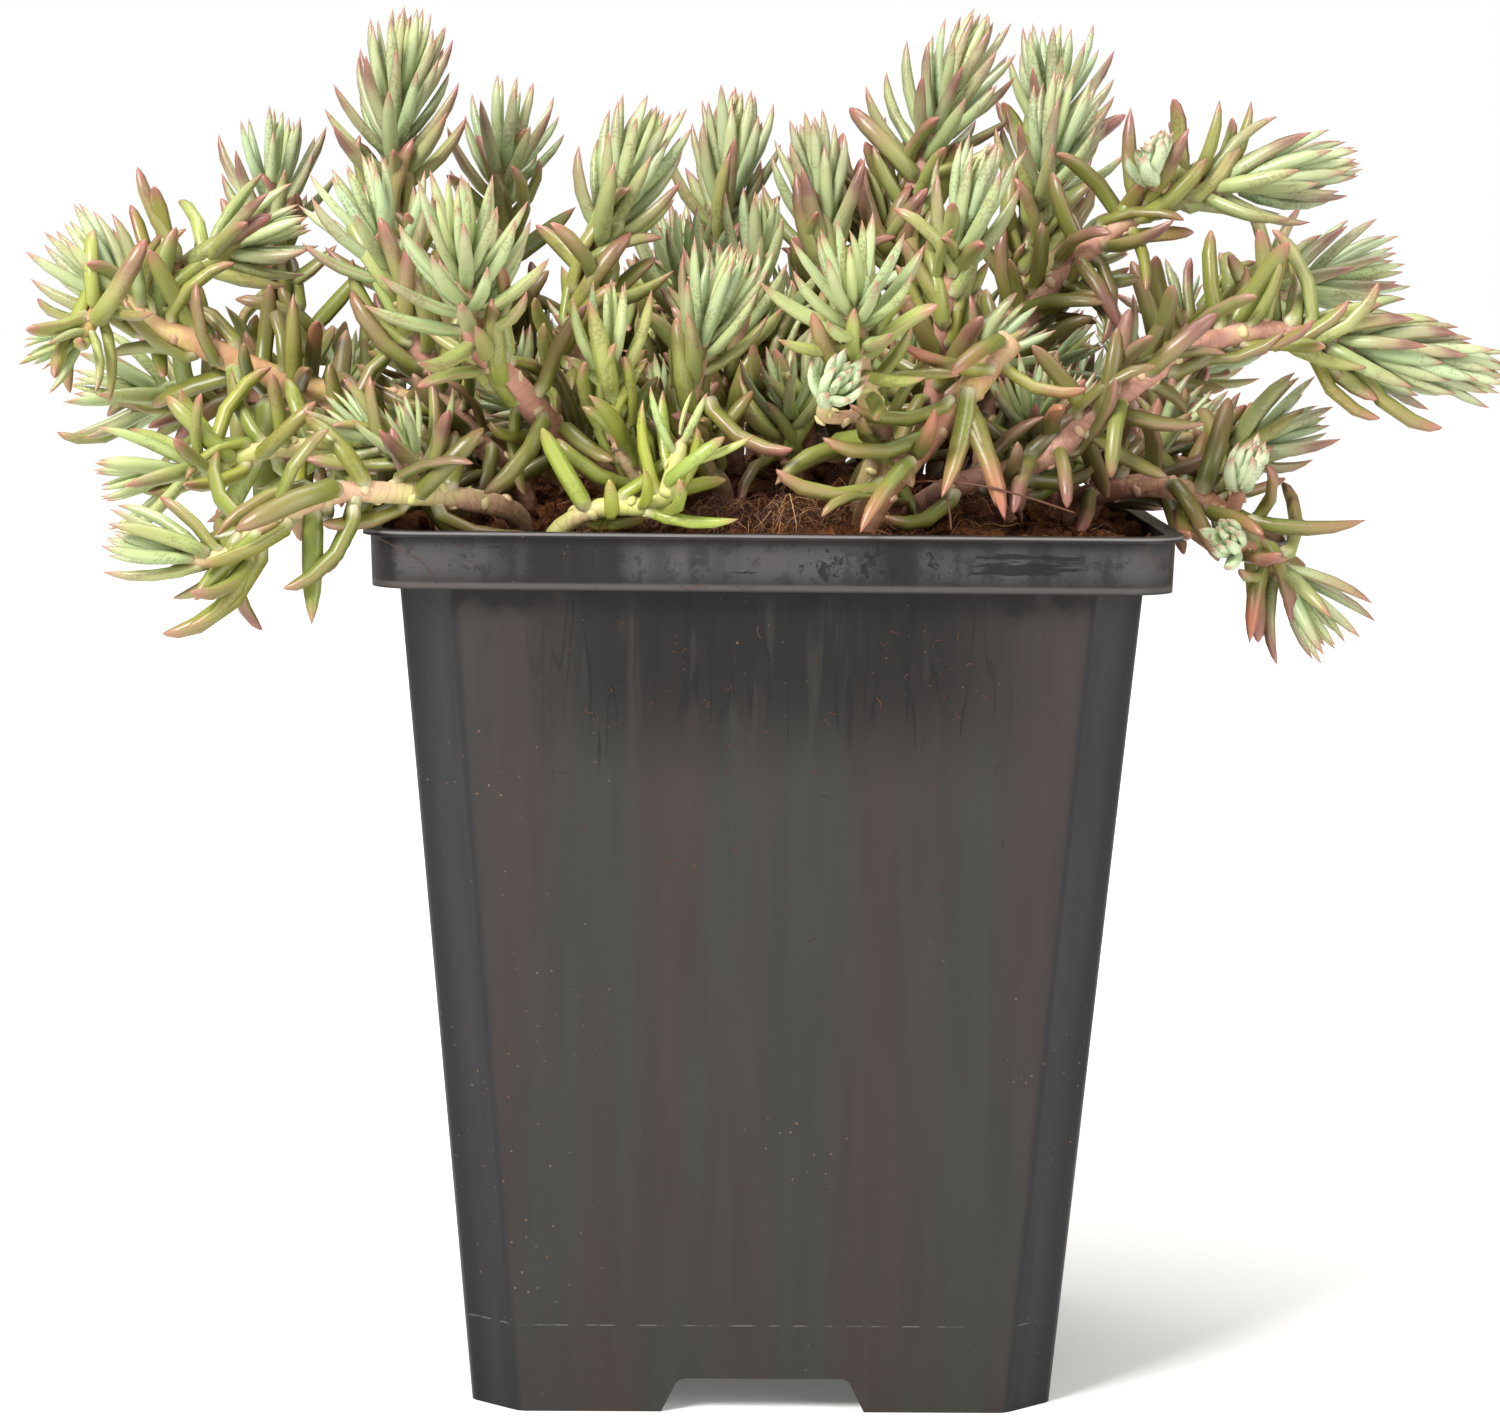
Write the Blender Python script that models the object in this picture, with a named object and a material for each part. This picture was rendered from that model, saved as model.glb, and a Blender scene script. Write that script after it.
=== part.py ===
# Potted sedum: a square nursery pot, its soil and the leafy shoots that stand in the soil.
# Metres, +Z up. The origin is the middle of the pot's foot, on the surface that it stands on.
# The front, as seen in the photograph, faces -Y.

import math
import random

import bmesh
import bpy
import numpy as np
from mathutils import Matrix, Quaternion, Vector
from mathutils.noise import noise

MM = 0.001
OBJECT_NAME = "potted_sedum"

# Pot
POT_WIDTH = 0.0900
POT_HEIGHT = 0.1000
WALL = 0.0012
FOOT_WIDTH = 0.0657
BODY_TOP_WIDTH = 0.0823
BAND_HEIGHT = 0.0064
BAND_WIDTH = 0.0884
LIP_HEIGHT = 0.0008
FACET_LOW = 0.0055
FACET_HIGH = 0.0062
RIM_RADIUS = 0.0062
RIM_DRAFT = 0.0002
FACET_INSET = 2 - math.sqrt(2)
CORNER_STEPS = 3
FLAT_CORNER = 0.0
ROUND_CORNER = 1.0

# Channels that cross under the pot, between its four feet
CHANNEL_HEIGHT = 0.0039
CHANNEL_LOW_WIDTH = 0.0229
CHANNEL_HIGH_WIDTH = 0.0191
CHANNEL_LENGTH = 0.1080
DRAIN_RADIUS = 0.0025
DRAIN_REACH = 0.0170
DRAIN_SIDES = 8

# Soil
GAP = 0.0003
SOIL_EDGE_HEIGHT = 0.0965
SOIL_HEAP = 0.0080
SOIL_HEAP_SPREAD = 0.0230
SOIL_BUMP = 0.0012
SOIL_BUMP_SIZE = 0.0085
SOIL_SHEET = 0.0495
SOIL_CELLS = 8

# Stems
UP = Vector((0, 0, 1))
DOWN = Vector((0, 0, -1))
THICK_STEM = 0.00135
STEM_TAPER = 0.18
BURIED_DEPTH = 0.0055
STAND_HEIGHT = 0.0028
LEAN_SHARE = 0.5
LEAN_LIMIT = math.radians(32)
TUBE_STEP = 0.0150
HEAD_RINGS = (0.0, 0.38, 0.76)
CORE_END = 0.76
TIP_RADIUS = 0.0003
WELD = 0.00002
HOLE_SIDES = 5
HOLE_ROOM = 0.00025
PATH_STEPS = 10
HEADING_STEP = 0.0008
FLARE_ROOM = 0.3

# Leaves
GOLDEN_ANGLE = math.radians(137.5)
HEAD_LEAF_LENGTH = 0.0098
STEM_LEAF_LENGTH = 0.0108
LEAF_WIDTH = 0.0026
LEAF_SIDES = 3
WIDEST_AT = 0.42
ROOT_SHARE = 0.30
TIP_SHARE = 0.75
LEAF_GAP = 0.00022
TURN_DRIFT = 0.12
HEAD_LEAF_STEP = 0.00118
HEAD_STEP_DRIFT = 0.1
HEAD_LENGTH_DRIFT = 0.09
HEAD_LIFT = 0.25
CLOSED_ANGLE = 10
ANGLE_DRIFT = 4
OPENING_POWER = 0.6
STEM_LEAF_STEP = 0.0050
STEM_STEP_DRIFT = 0.15
STEM_LENGTH_DRIFT = 0.14
STEM_LEAF_ANGLES = (62, 100)
STEM_LEAF_LIFTS = (0.25, 0.35, -0.3)
LEAST_ANGLE = 0.12
SEED = 20


def soil_height(x, y):
    """Height of the soil's top at a point of the pot: a low heap with lumps."""
    heap = math.exp(-(x * x + y * y) / (2 * SOIL_HEAP_SPREAD**2))
    lumps = noise(Vector((x, y, 0)) / SOIL_BUMP_SIZE)
    return SOIL_EDGE_HEIGHT + SOIL_HEAP * heap + SOIL_BUMP * lumps


# Scene set-up


def clear_scene():
    for obj in list(bpy.data.objects):
        bpy.data.objects.remove(obj, do_unlink=True)


def new_collection(name, hidden=False):
    collection = bpy.data.collections.new(name)
    bpy.context.scene.collection.children.link(collection)
    collection.hide_render = hidden
    return collection


def make_material(name, colour, roughness, metallic=0.0):
    material = bpy.data.materials.new(name)
    material.use_nodes = True
    shader = material.node_tree.nodes["Principled BSDF"]
    shader.inputs["Base Color"].default_value = (*colour, 1.0)
    shader.inputs["Roughness"].default_value = roughness
    shader.inputs["Metallic"].default_value = metallic
    return material


def object_from_bmesh(bm, name, collection, material=None):
    mesh = bpy.data.meshes.new(name)
    bm.to_mesh(mesh)
    bm.free()
    if material:
        mesh.materials.append(material)
    obj = bpy.data.objects.new(name, mesh)
    collection.objects.link(obj)
    return obj


def add_cutter(bm, name, cutters):
    obj = object_from_bmesh(bm, name, cutters)
    obj.hide_render = True
    obj.display_type = "WIRE"
    return obj


def apply_modifiers(obj):
    """Bakes an object's modifiers into its mesh."""
    graph = bpy.context.evaluated_depsgraph_get()
    graph.update()
    mesh = bpy.data.meshes.new_from_object(obj.evaluated_get(graph))
    old_mesh = obj.data
    obj.modifiers.clear()
    obj.data = mesh
    mesh.name = obj.name
    bpy.data.meshes.remove(old_mesh)


def boolean(obj, operation, other=None, group=None, solver="EXACT"):
    modifier = obj.modifiers.new(operation.lower(), "BOOLEAN")
    modifier.operation = operation
    modifier.solver = solver
    if group:
        modifier.operand_type = "COLLECTION"
        modifier.collection = group
    else:
        modifier.object = other
    apply_modifiers(obj)


def remove_group(group):
    for obj in list(group.objects):
        bpy.data.objects.remove(obj, do_unlink=True)
    bpy.data.collections.remove(group)


def keep_largest_body(obj):
    """Drops loose scraps and the walls of sealed hollows, which are bodies of their own."""
    bm = bmesh.new()
    bm.from_mesh(obj.data)
    unseen = set(bm.faces)
    bodies = []
    while unseen:
        body = {unseen.pop()}
        edge_of_body = list(body)
        while edge_of_body:
            face = edge_of_body.pop()
            for edge in face.edges:
                near = unseen.intersection(edge.link_faces)
                unseen -= near
                body |= near
                edge_of_body.extend(near)
        bodies.append(body)
    bodies.sort(key=len, reverse=True)
    loose = [face for body in bodies[1:] for face in body]
    bmesh.ops.delete(bm, geom=loose, context="FACES")
    bm.to_mesh(obj.data)
    bm.free()


# Pot and soil


def corner_points(half, corner, roundness):
    """A quarter of a square's outline: the corner at +X +Y, from a flat facet to a round one."""
    inner = half - corner
    points = []
    for step in range(CORNER_STEPS + 1):
        share = step / CORNER_STEPS
        angle = share * math.pi / 2
        flat = Vector((half - corner * share, inner + corner * share))
        arc = Vector((inner + corner * math.cos(angle), inner + corner * math.sin(angle)))
        points.append(flat.lerp(arc, roundness))
    return points


def square_ring(bm, height, half, corner, roundness):
    ring = []
    for quarter in range(4):
        turn = Matrix.Rotation(quarter * math.pi / 2, 2)
        for point in corner_points(half, corner, roundness):
            flat = turn @ point
            ring.append(bm.verts.new((flat.x, flat.y, height)))
    return ring


def loft(sections):
    """A closed body through square sections, listed so that the outside is on the right."""
    bm = bmesh.new()
    rings = [square_ring(bm, *section) for section in sections]
    count = len(rings[0])
    for low, high in zip(rings, rings[1:]):
        for i in range(count):
            j = (i + 1) % count
            bm.faces.new((low[i], low[j], high[j], high[i]))
    bm.faces.new(list(reversed(rings[0])))
    bm.faces.new(rings[-1])
    return bm


def body_half(height):
    """Half the body's width at a height, outside."""
    share = height / (POT_HEIGHT - BAND_HEIGHT)
    return (FOOT_WIDTH + (BODY_TOP_WIDTH - FOOT_WIDTH) * share) / 2


def body_facet(height):
    share = height / (POT_HEIGHT - BAND_HEIGHT)
    return FACET_LOW + (FACET_HIGH - FACET_LOW) * share


def inner_section(height, inset):
    """A section of the body's inside at a height, drawn in by an inset."""
    return (height, body_half(height) - inset, body_facet(height) - inset * FACET_INSET, FLAT_CORNER)


def channel_bar(name, along_x, grow, cutters):
    """A bar with sloping sides, as long as the pot is wide, that cuts one channel under it."""
    bm = bmesh.new()
    height = CHANNEL_HEIGHT + grow
    bmesh.ops.create_cube(bm, size=1.0)
    for vert in bm.verts:
        top = vert.co.z > 0
        width = (CHANNEL_HIGH_WIDTH if top else CHANNEL_LOW_WIDTH) + 2 * grow
        z = height if top else -CHANNEL_HEIGHT
        vert.co = Vector((vert.co.x * CHANNEL_LENGTH, vert.co.y * width, z))
    if not along_x:
        bmesh.ops.rotate(bm, verts=bm.verts, matrix=Matrix.Rotation(math.pi / 2, 3, "Z"))
    return add_cutter(bm, name, cutters)


def cut_channels(obj, grow, cutters):
    for along_x in (True, False):
        name = f"{obj.name}_channel_{'x' if along_x else 'y'}"
        bar = channel_bar(name, along_x, grow, cutters)
        boolean(obj, "DIFFERENCE", other=bar)
        bpy.data.objects.remove(bar, do_unlink=True)


def make_pot(parts, cutters, material):
    """The pot's walls and rim in one loft, then its foot pockets, channels and drain holes cut out."""
    band_low = POT_HEIGHT - BAND_HEIGHT
    lip_low = POT_HEIGHT - LIP_HEIGHT
    floor_top = CHANNEL_HEIGHT + WALL
    ledge = band_low + WALL
    band_half = BAND_WIDTH / 2
    rim_inside = band_half - WALL
    sections = [
        (0.0, body_half(0.0), FACET_LOW, FLAT_CORNER),
        (band_low, body_half(band_low), FACET_HIGH, FLAT_CORNER),
        (band_low, band_half - RIM_DRAFT, RIM_RADIUS, ROUND_CORNER),
        (lip_low, band_half, RIM_RADIUS, ROUND_CORNER),
        (lip_low, POT_WIDTH / 2, RIM_RADIUS, ROUND_CORNER),
        (POT_HEIGHT, POT_WIDTH / 2, RIM_RADIUS, ROUND_CORNER),
        (POT_HEIGHT, rim_inside, RIM_RADIUS - WALL, ROUND_CORNER),
        (ledge, rim_inside - RIM_DRAFT, RIM_RADIUS - WALL, ROUND_CORNER),
        inner_section(ledge, WALL),
        inner_section(floor_top, WALL),
    ]
    pot = object_from_bmesh(loft(sections), "pot", parts, material)

    pockets = loft([inner_section(WALL, WALL), inner_section(floor_top + WALL, WALL + RIM_DRAFT)])
    pockets = add_cutter(pockets, "foot_pockets", cutters)
    cut_channels(pockets, WALL, cutters)
    boolean(pot, "DIFFERENCE", other=pockets)
    bpy.data.objects.remove(pockets, do_unlink=True)
    cut_channels(pot, 0.0, cutters)

    drains = new_collection("drains", hidden=True)
    places = [(0.0, 0.0), (DRAIN_REACH, 0.0), (-DRAIN_REACH, 0.0), (0.0, DRAIN_REACH), (0.0, -DRAIN_REACH)]
    for x, y in places:
        bm = bmesh.new()
        bmesh.ops.create_cone(
            bm, cap_ends=True, segments=DRAIN_SIDES, radius1=DRAIN_RADIUS, radius2=DRAIN_RADIUS,
            depth=4 * WALL,
        )
        bmesh.ops.translate(bm, verts=bm.verts, vec=(x, y, CHANNEL_HEIGHT + WALL / 2))
        add_cutter(bm, "drain", drains)
    boolean(pot, "DIFFERENCE", group=drains)
    remove_group(drains)
    return pot


def make_soil(parts, cutters, material, holes):
    """Soil that fills the pot's inside and its feet, heaped on top, with a hole for each stem."""
    ledge = POT_HEIGHT - BAND_HEIGHT + WALL
    inset = WALL + GAP
    rim_inside = BAND_WIDTH / 2 - WALL - RIM_DRAFT - GAP
    top = POT_HEIGHT + 2 * SOIL_HEAP
    sections = [
        inner_section(WALL + GAP, inset),
        inner_section(ledge + GAP, inset),
        (ledge + GAP, rim_inside, RIM_RADIUS - inset, ROUND_CORNER),
        (top, rim_inside, RIM_RADIUS - inset, ROUND_CORNER),
    ]
    soil = object_from_bmesh(loft(sections), "soil", parts, material)
    cut_channels(soil, inset, cutters)

    bm = bmesh.new()
    bmesh.ops.create_grid(bm, x_segments=SOIL_CELLS, y_segments=SOIL_CELLS, size=SOIL_SHEET)
    for vert in bm.verts:
        vert.co.z = soil_height(vert.co.x, vert.co.y)
    bmesh.ops.triangulate(bm, faces=bm.faces)
    low = bmesh.ops.extrude_face_region(bm, geom=bm.faces[:], use_keep_orig=True)
    for item in low["geom"]:
        if isinstance(item, bmesh.types.BMVert):
            item.co.z = -POT_HEIGHT
    bmesh.ops.recalc_face_normals(bm, faces=bm.faces)
    heap = add_cutter(bm, "soil_heap", cutters)
    boolean(soil, "INTERSECT", other=heap)
    bpy.data.objects.remove(heap, do_unlink=True)

    boolean(soil, "DIFFERENCE", group=holes)
    remove_group(holes)
    keep_largest_body(soil)
    return soil


# Shoots


class Axis:
    """The line that a stem or a branch follows, ending in its head's tip."""

    def __init__(self, route, radius, head, start, flare):
        self.points = smooth_route(route, start)
        self.radius = radius
        self.head = head
        self.flare = flare
        steps = [(b - a).length for a, b in zip(self.points, self.points[1:])]
        self.reach = [0.0]
        for step in steps:
            self.reach.append(self.reach[-1] + step)
        self.length = self.reach[-1]
        across = start.cross(self.points[-1] - self.points[-2])
        self.side = across.normalized() if across.length > 1e-6 else start.orthogonal().normalized()

    def at(self, distance):
        distance = min(max(distance, 0.0), self.length)
        for i in range(len(self.points) - 1):
            if self.reach[i + 1] >= distance:
                span = self.reach[i + 1] - self.reach[i]
                share = (distance - self.reach[i]) / span if span else 0.0
                return self.points[i].lerp(self.points[i + 1], share)
        return self.points[-1].copy()

    def heading(self, distance):
        return (self.at(distance + HEADING_STEP) - self.at(distance - HEADING_STEP)).normalized()

    def head_share(self, distance):
        """0 at the head's base and 1 at its tip; below 0 on the bare or leafy stem."""
        if not self.head:
            return -1.0
        return (distance - (self.length - self.head)) / self.head

    def thickness(self, distance):
        """The stem's radius, which swells into a slim core inside the head."""
        share = self.head_share(distance)
        if share <= 0:
            return self.radius * (1.0 - STEM_TAPER * distance / self.length)
        share = min(share / CORE_END, 1.0)
        core = self.radius * (1.0 - STEM_TAPER) + self.flare * math.sin(math.pi * share)
        return max(core * (1.0 - share**3), TIP_RADIUS)


def smooth_route(route, start):
    """Points along a smooth curve through the route, which leaves along the start direction."""
    before = route[0] - start * (route[1] - route[0]).length
    after = route[-1] * 2 - route[-2]
    knots = [before, *route, after]
    points = [route[0]]
    for i in range(1, len(knots) - 2):
        p0, p1, p2, p3 = knots[i - 1 : i + 3]
        for step in range(1, PATH_STEPS + 1):
            t = step / PATH_STEPS
            bend = (p2 - p0) * t + (p0 * 2 - p1 * 5 + p2 * 4 - p3) * t**2
            bend += (p1 * 3 - p0 - p2 * 3 + p3) * t**3
            points.append(p1 + bend * 0.5)
    return points


def mm(*values):
    return Vector(values) * MM


def stem(base, route, radius=1.3, head=14.0, flare=0.9, bare=4.0, gap=1.0, open_angle=58.0):
    """A stem: where it stands in the soil, then its route in millimetres, ending at its head's tip."""
    return dict(
        base=base, route=route, radius=radius, head=head, flare=flare, bare=bare, gap=gap,
        open_angle=open_angle,
    )


def branch(share, route, radius=1.0, head=8.0, flare=0.6, bare=2.0):
    """A branch that leaves the node's stem at a share of its length."""
    return dict(
        share=share, route=route, radius=radius, head=head, flare=flare, bare=bare, gap=1.0, open_angle=56.0
    )


# Each shoot is one piece: its stem, then its branches. Millimetres, from the photograph's front view.
SHOOTS = {
    "shoot_far_left": [
        stem((-22, -9), [(-29, -9, 108), (-40, -12, 112), (-53, -14, 114), (-65, -14, 119), (-72, -13, 122),
                         (-81, -10, 133)], radius=1.8, head=12, bare=18, gap=1.4),
        branch(0.86, [(-78, -18, 120), (-84, -20, 118)], head=8),
        branch(0.78, [(-70, -8, 125), (-67, -6, 128), (-53, -7, 133)], head=12, flare=0.8),
    ],
    "shoot_upper_left": [
        stem((-30, 12), [(-43, 15, 111), (-52, 18, 117), (-59, 20, 126), (-58, 22, 146)], head=16, bare=12),
    ],
    "shoot_tall_left": [
        stem((-24, 6), [(-33, 9, 111), (-39, 10, 119), (-43, 12, 131), (-44, 12, 141), (-42, 12, 158)],
             radius=1.5, head=18, flare=1.2, bare=14),
    ],
    "shoot_behind_left": [
        stem((-18, 26), [(-27, 28, 112), (-31, 29, 121), (-32, 30, 134), (-29, 32, 150)], head=15, bare=12),
    ],
    "shoot_front_left": [
        stem((-16, -24), [(-22, -30, 108), (-28, -38, 115), (-33, -44, 122), (-34, -51, 138)],
             radius=1.6, head=17, flare=1.3, bare=10, gap=1.3, open_angle=76),
    ],
    "shoot_left_inner": [
        stem((-27, -17), [(-34, -22, 110), (-39, -24, 118), (-42, -25, 126), (-48, -24, 140)], head=15, bare=10),
    ],
    "shoot_mid_left": [
        stem((-14, -9), [(-20, -14, 112), (-22, -16, 121), (-19, -16, 131), (-13, -14, 147)],
             radius=1.4, head=18, flare=1.1, bare=10),
    ],
    "shoot_mid_back": [
        stem((-4, 10), [(-5, 9, 115), (-5, 10, 131), (-3, 11, 149)], head=17, bare=10),
    ],
    "shoot_mid": [
        stem((5, -1), [(4, 0, 115), (7, 3, 128), (5, 5, 146)], head=17, bare=8),
    ],
    "shoot_rosette": [
        stem((10, -26), [(12, -34, 110), (9, -43, 118), (7, -53, 133)], radius=1.4, head=15, flare=1.3, bare=6,
             open_angle=78),
        branch(0.36, [(3, -45, 113), (4, -52, 119)], radius=0.9, head=6, flare=0.8, bare=1),
    ],
    "shoot_small_left": [
        stem((-11, -33), [(-16, -36, 107), (-18, -38, 115), (-18, -40, 128)], radius=1.1, head=13, bare=5),
    ],
    "shoot_small_mid": [
        stem((-5, -25), [(-8, -30, 108), (-9, -33, 116), (-4, -35, 131)], radius=1.2, head=15, bare=5),
    ],
    "shoot_top_right": [
        stem((13, 11), [(16, 9, 115), (17, 8, 128), (18, 8, 139), (26, 8, 158)], radius=1.5, head=20,
             flare=1.2, bare=14),
    ],
    "shoot_back_right": [
        stem((24, 26), [(29, 26, 114), (33, 28, 128), (35, 30, 142), (37, 32, 158)], head=16, bare=16),
    ],
    "shoot_right_inner": [
        stem((22, 7), [(28, 6, 116), (30, 6, 126), (32, 6, 135), (36, 6, 151)], head=17, bare=12),
    ],
    "shoot_bud_head": [
        stem((15, -13), [(18, -20, 112), (19, -22, 121), (20, -23, 128), (24, -24, 143)], head=15, flare=1.3,
             bare=8, open_angle=48),
    ],
    "shoot_right_top": [
        stem((25, -6), [(26, -6, 114), (29, -7, 121), (35, -9, 129), (44, -11, 136), (51, -11, 138),
                        (68, -9, 141)], radius=1.6, head=19, bare=14, gap=1.2),
        branch(0.66, [(43, -15, 139), (45, -17, 144)], radius=0.9, head=6, flare=0.7, bare=1),
    ],
    "shoot_right_mid": [
        stem((15, -30), [(21, -32, 105), (30, -33, 108), (37, -33, 114), (46, -31, 120), (54, -29, 122),
                         (63, -26, 121), (83, -21, 117)], radius=1.6, head=21, bare=22, gap=1.2),
    ],
    "shoot_right_back": [
        stem((34, 4), [(42, 4, 112), (50, 6, 120), (57, 6, 125), (76, 10, 129)], radius=1.4, head=18, bare=10),
    ],
    "shoot_right_low": [
        stem((33, -15), [(40, -20, 104), (46, -22, 104), (52, -22, 101), (57, -22, 96), (65, -22, 86)],
             radius=1.4, head=13, bare=7),
        branch(0.42, [(53, -18, 108), (64, -16, 112)], head=13),
        branch(0.52, [(53, -27, 106), (55, -29, 110)], radius=0.9, head=6),
        branch(0.64, [(52, -28, 98), (50, -33, 100)], radius=0.9, head=6),
    ],
    "shoot_left_low": [
        stem((-27, -32), [(-33, -38, 103), (-41, -43, 104), (-48, -46, 104), (-55, -47, 101), (-60, -47, 97),
                          (-72, -46, 100)], radius=1.3, head=12, bare=12),
    ],
    "shoot_left_yellow": [
        stem((-34, -22), [(-42, -24, 106), (-53, -27, 108), (-63, -28, 106), (-75, -29, 103)], radius=1.2,
             head=12, bare=10),
    ],
    "shoot_left_leafy": [
        stem((-34, 3), [(-45, 4, 109), (-57, 6, 112), (-68, 6, 112), (-82, 6, 114)],
             radius=1.3, head=13, bare=10),
    ],
    "shoot_rim_lime": [
        stem((-25, -39), [(-19, -41, 102.5), (-13, -42, 103), (-11, -43, 107), (-9, -44, 116)], radius=1.1,
             head=10, bare=8, flare=0.5),
    ],
    "shoot_broken": [
        stem((10, -37), [(13, -38, 106), (20, -37, 114), (26, -35, 121)], radius=1.9, head=0, bare=4, gap=1.1),
    ],
    "shoot_left_front": [
        stem((-36, -31), [(-38, -33, 104), (-42, -35, 114)], radius=1.1, head=9),
    ],
    "shoot_gap_left": [
        stem((-12, -18), [(-12, -20, 108), (-15, -23, 118)], radius=1.1, head=10),
    ],
    "shoot_gap_mid": [
        stem((3, -17), [(2, -20, 108), (2, -24, 119)], radius=1.1, head=10),
    ],
    "shoot_gap_right": [
        stem((27, -22), [(30, -22, 107), (33, -21, 118)], radius=1.1, head=10),
    ],
    "shoot_right_rim": [
        stem((37, -5), [(44, -7, 106), (53, -8, 113)], radius=1.1, head=11),
    ],
}

# The side away from the photograph and the middle, filled by rule. Millimetres and degrees.
BACK_ARMS = 7
BACK_ARM_ANGLES = (14, 166)
BACK_ARM_DRIFT = 6
BACK_ARM_REACH = 64
BACK_ARM_DEPTH = 53
BACK_ARM_RISE = (110, 128)
BACK_ARM_FOOT = (0.46, 0.34, 16)
BACK_ARM_DROOP = 5
RIM_CLEAR_HEIGHT = 107
INNER_SHOOTS = 17
INNER_BACK = 37
INNER_FRONT = -12
INNER_HEIGHT = 141
INNER_DROP = 13
INNER_HEIGHT_DRIFT = 13
INNER_LEAN = (1.08, 1.35)
INNER_MIDDLE = 0.6
FIT_TRIES = 6000
STEM_ROOM = 0.5
HEAD_ROOM = 4.0
ROOM_STRIDE = 4


def between(low, high, share):
    return low + (high - low) * share


def back_arm(share, chance):
    """A long arm that reaches out behind the pot, at a share of the half turn."""
    drift = chance.uniform(-BACK_ARM_DRIFT, BACK_ARM_DRIFT)
    angle = math.radians(between(*BACK_ARM_ANGLES, share) + drift)
    out_x, out_y = math.cos(angle) * BACK_ARM_REACH, math.sin(angle) * BACK_ARM_DEPTH
    rise = chance.uniform(*BACK_ARM_RISE)
    foot_x, foot_y, back = BACK_ARM_FOOT
    base = (out_x * foot_x + chance.uniform(-4, 4), out_y * foot_y + back + chance.uniform(-3, 3))
    over_rim = (between(base[0], out_x, 0.35), between(base[1], out_y, 0.42), RIM_CLEAR_HEIGHT)
    beyond = (between(base[0], out_x, 0.7), between(base[1], out_y, 0.72), rise - BACK_ARM_DROOP)
    return [stem(base, [over_rim, beyond, (out_x, out_y, rise)], radius=1.4, head=15, bare=9)]


def inner_shoot(chance):
    """A short upright shoot that leans outwards a little, lower the further it stands from the middle."""
    x, y = chance.uniform(-INNER_BACK, INNER_BACK), chance.uniform(INNER_FRONT, INNER_BACK)
    lean = chance.uniform(*INNER_LEAN)
    height = INNER_HEIGHT - INNER_DROP * abs(x) / INNER_BACK - chance.uniform(0, INNER_HEIGHT_DRIFT)
    tip = (x * lean, y * lean, height)
    middle = [between(low, high, INNER_MIDDLE) for low, high in zip((x, y, POT_HEIGHT / MM), tip)]
    return [stem((x, y), [middle, tip], radius=1.2, head=13, bare=5, gap=1.8)]


def room_lines(axes):
    """An axis as thick lines with the room that its stem and its head need."""
    for _, axis in axes:
        points = axis.points[::ROOM_STRIDE]
        if axis.buried:
            points = [axis.buried, *points, axis.points[-1]]
        for near, far in zip(points, points[1:]):
            in_head = axis.head and (far - axis.points[-1]).length < axis.head
            yield near, far, HEAD_ROOM * MM if in_head else axis.radius + STEM_ROOM * MM


def has_room(axes, obstacles):
    return all(obstacles.clearance(near, far, room, "") > 0 for near, far, room in room_lines(axes))


def grow_to_fit(make, name, axes_of, obstacles):
    """Draws a shoot until it has room among the others, and keeps it."""
    for _ in range(FIT_TRIES):
        axes = build_axes(make())
        if has_room(axes, obstacles):
            axes_of[name] = axes
            for near, far, room in room_lines(axes):
                obstacles.add(near, far, room, name)
            return


def all_axes():
    """The shoots of the photograph, then those drawn by rule where there is room."""
    chance = random.Random(SEED)
    axes_of = {name: build_axes(spec) for name, spec in SHOOTS.items()}
    obstacles = Obstacles()
    for name, axes in axes_of.items():
        for near, far, room in room_lines(axes):
            obstacles.add(near, far, room, name)
    for i in range(BACK_ARMS):
        share = i / (BACK_ARMS - 1)
        grow_to_fit(lambda: back_arm(share, chance), f"shoot_back_arm_{i + 1}", axes_of, obstacles)
    for i in range(INNER_SHOOTS):
        grow_to_fit(lambda: inner_shoot(chance), f"shoot_inner_{i + 1}", axes_of, obstacles)
    return axes_of


def build_axes(parts_of_shoot):
    """The lines of a shoot's stem and branches, in metres."""
    axes = []
    for part in parts_of_shoot:
        route = [mm(*point) for point in part["route"]]
        if "base" in part:
            x, y = part["base"][0] * MM, part["base"][1] * MM
            foot = Vector((x, y, soil_height(x, y)))
            start = UP.lerp((route[0] - foot).normalized(), LEAN_SHARE).normalized()
            tilt = start.angle(UP)
            if tilt > LEAN_LIMIT:
                start = UP.slerp(start, LEAN_LIMIT / tilt)
            route.insert(0, foot + start * STAND_HEIGHT)
            buried = foot - start * BURIED_DEPTH
        else:
            stem_axis = axes[0][1]
            root = stem_axis.at(part["share"] * stem_axis.length)
            start = (route[0] - root).normalized()
            route.insert(0, root)
            buried = None
        axis = Axis(route, part["radius"] * MM, part["head"] * MM, start, part["flare"] * MM)
        axis.buried = buried
        axis.start = start
        axes.append((part, axis))
    return axes


# Clearances


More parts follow.
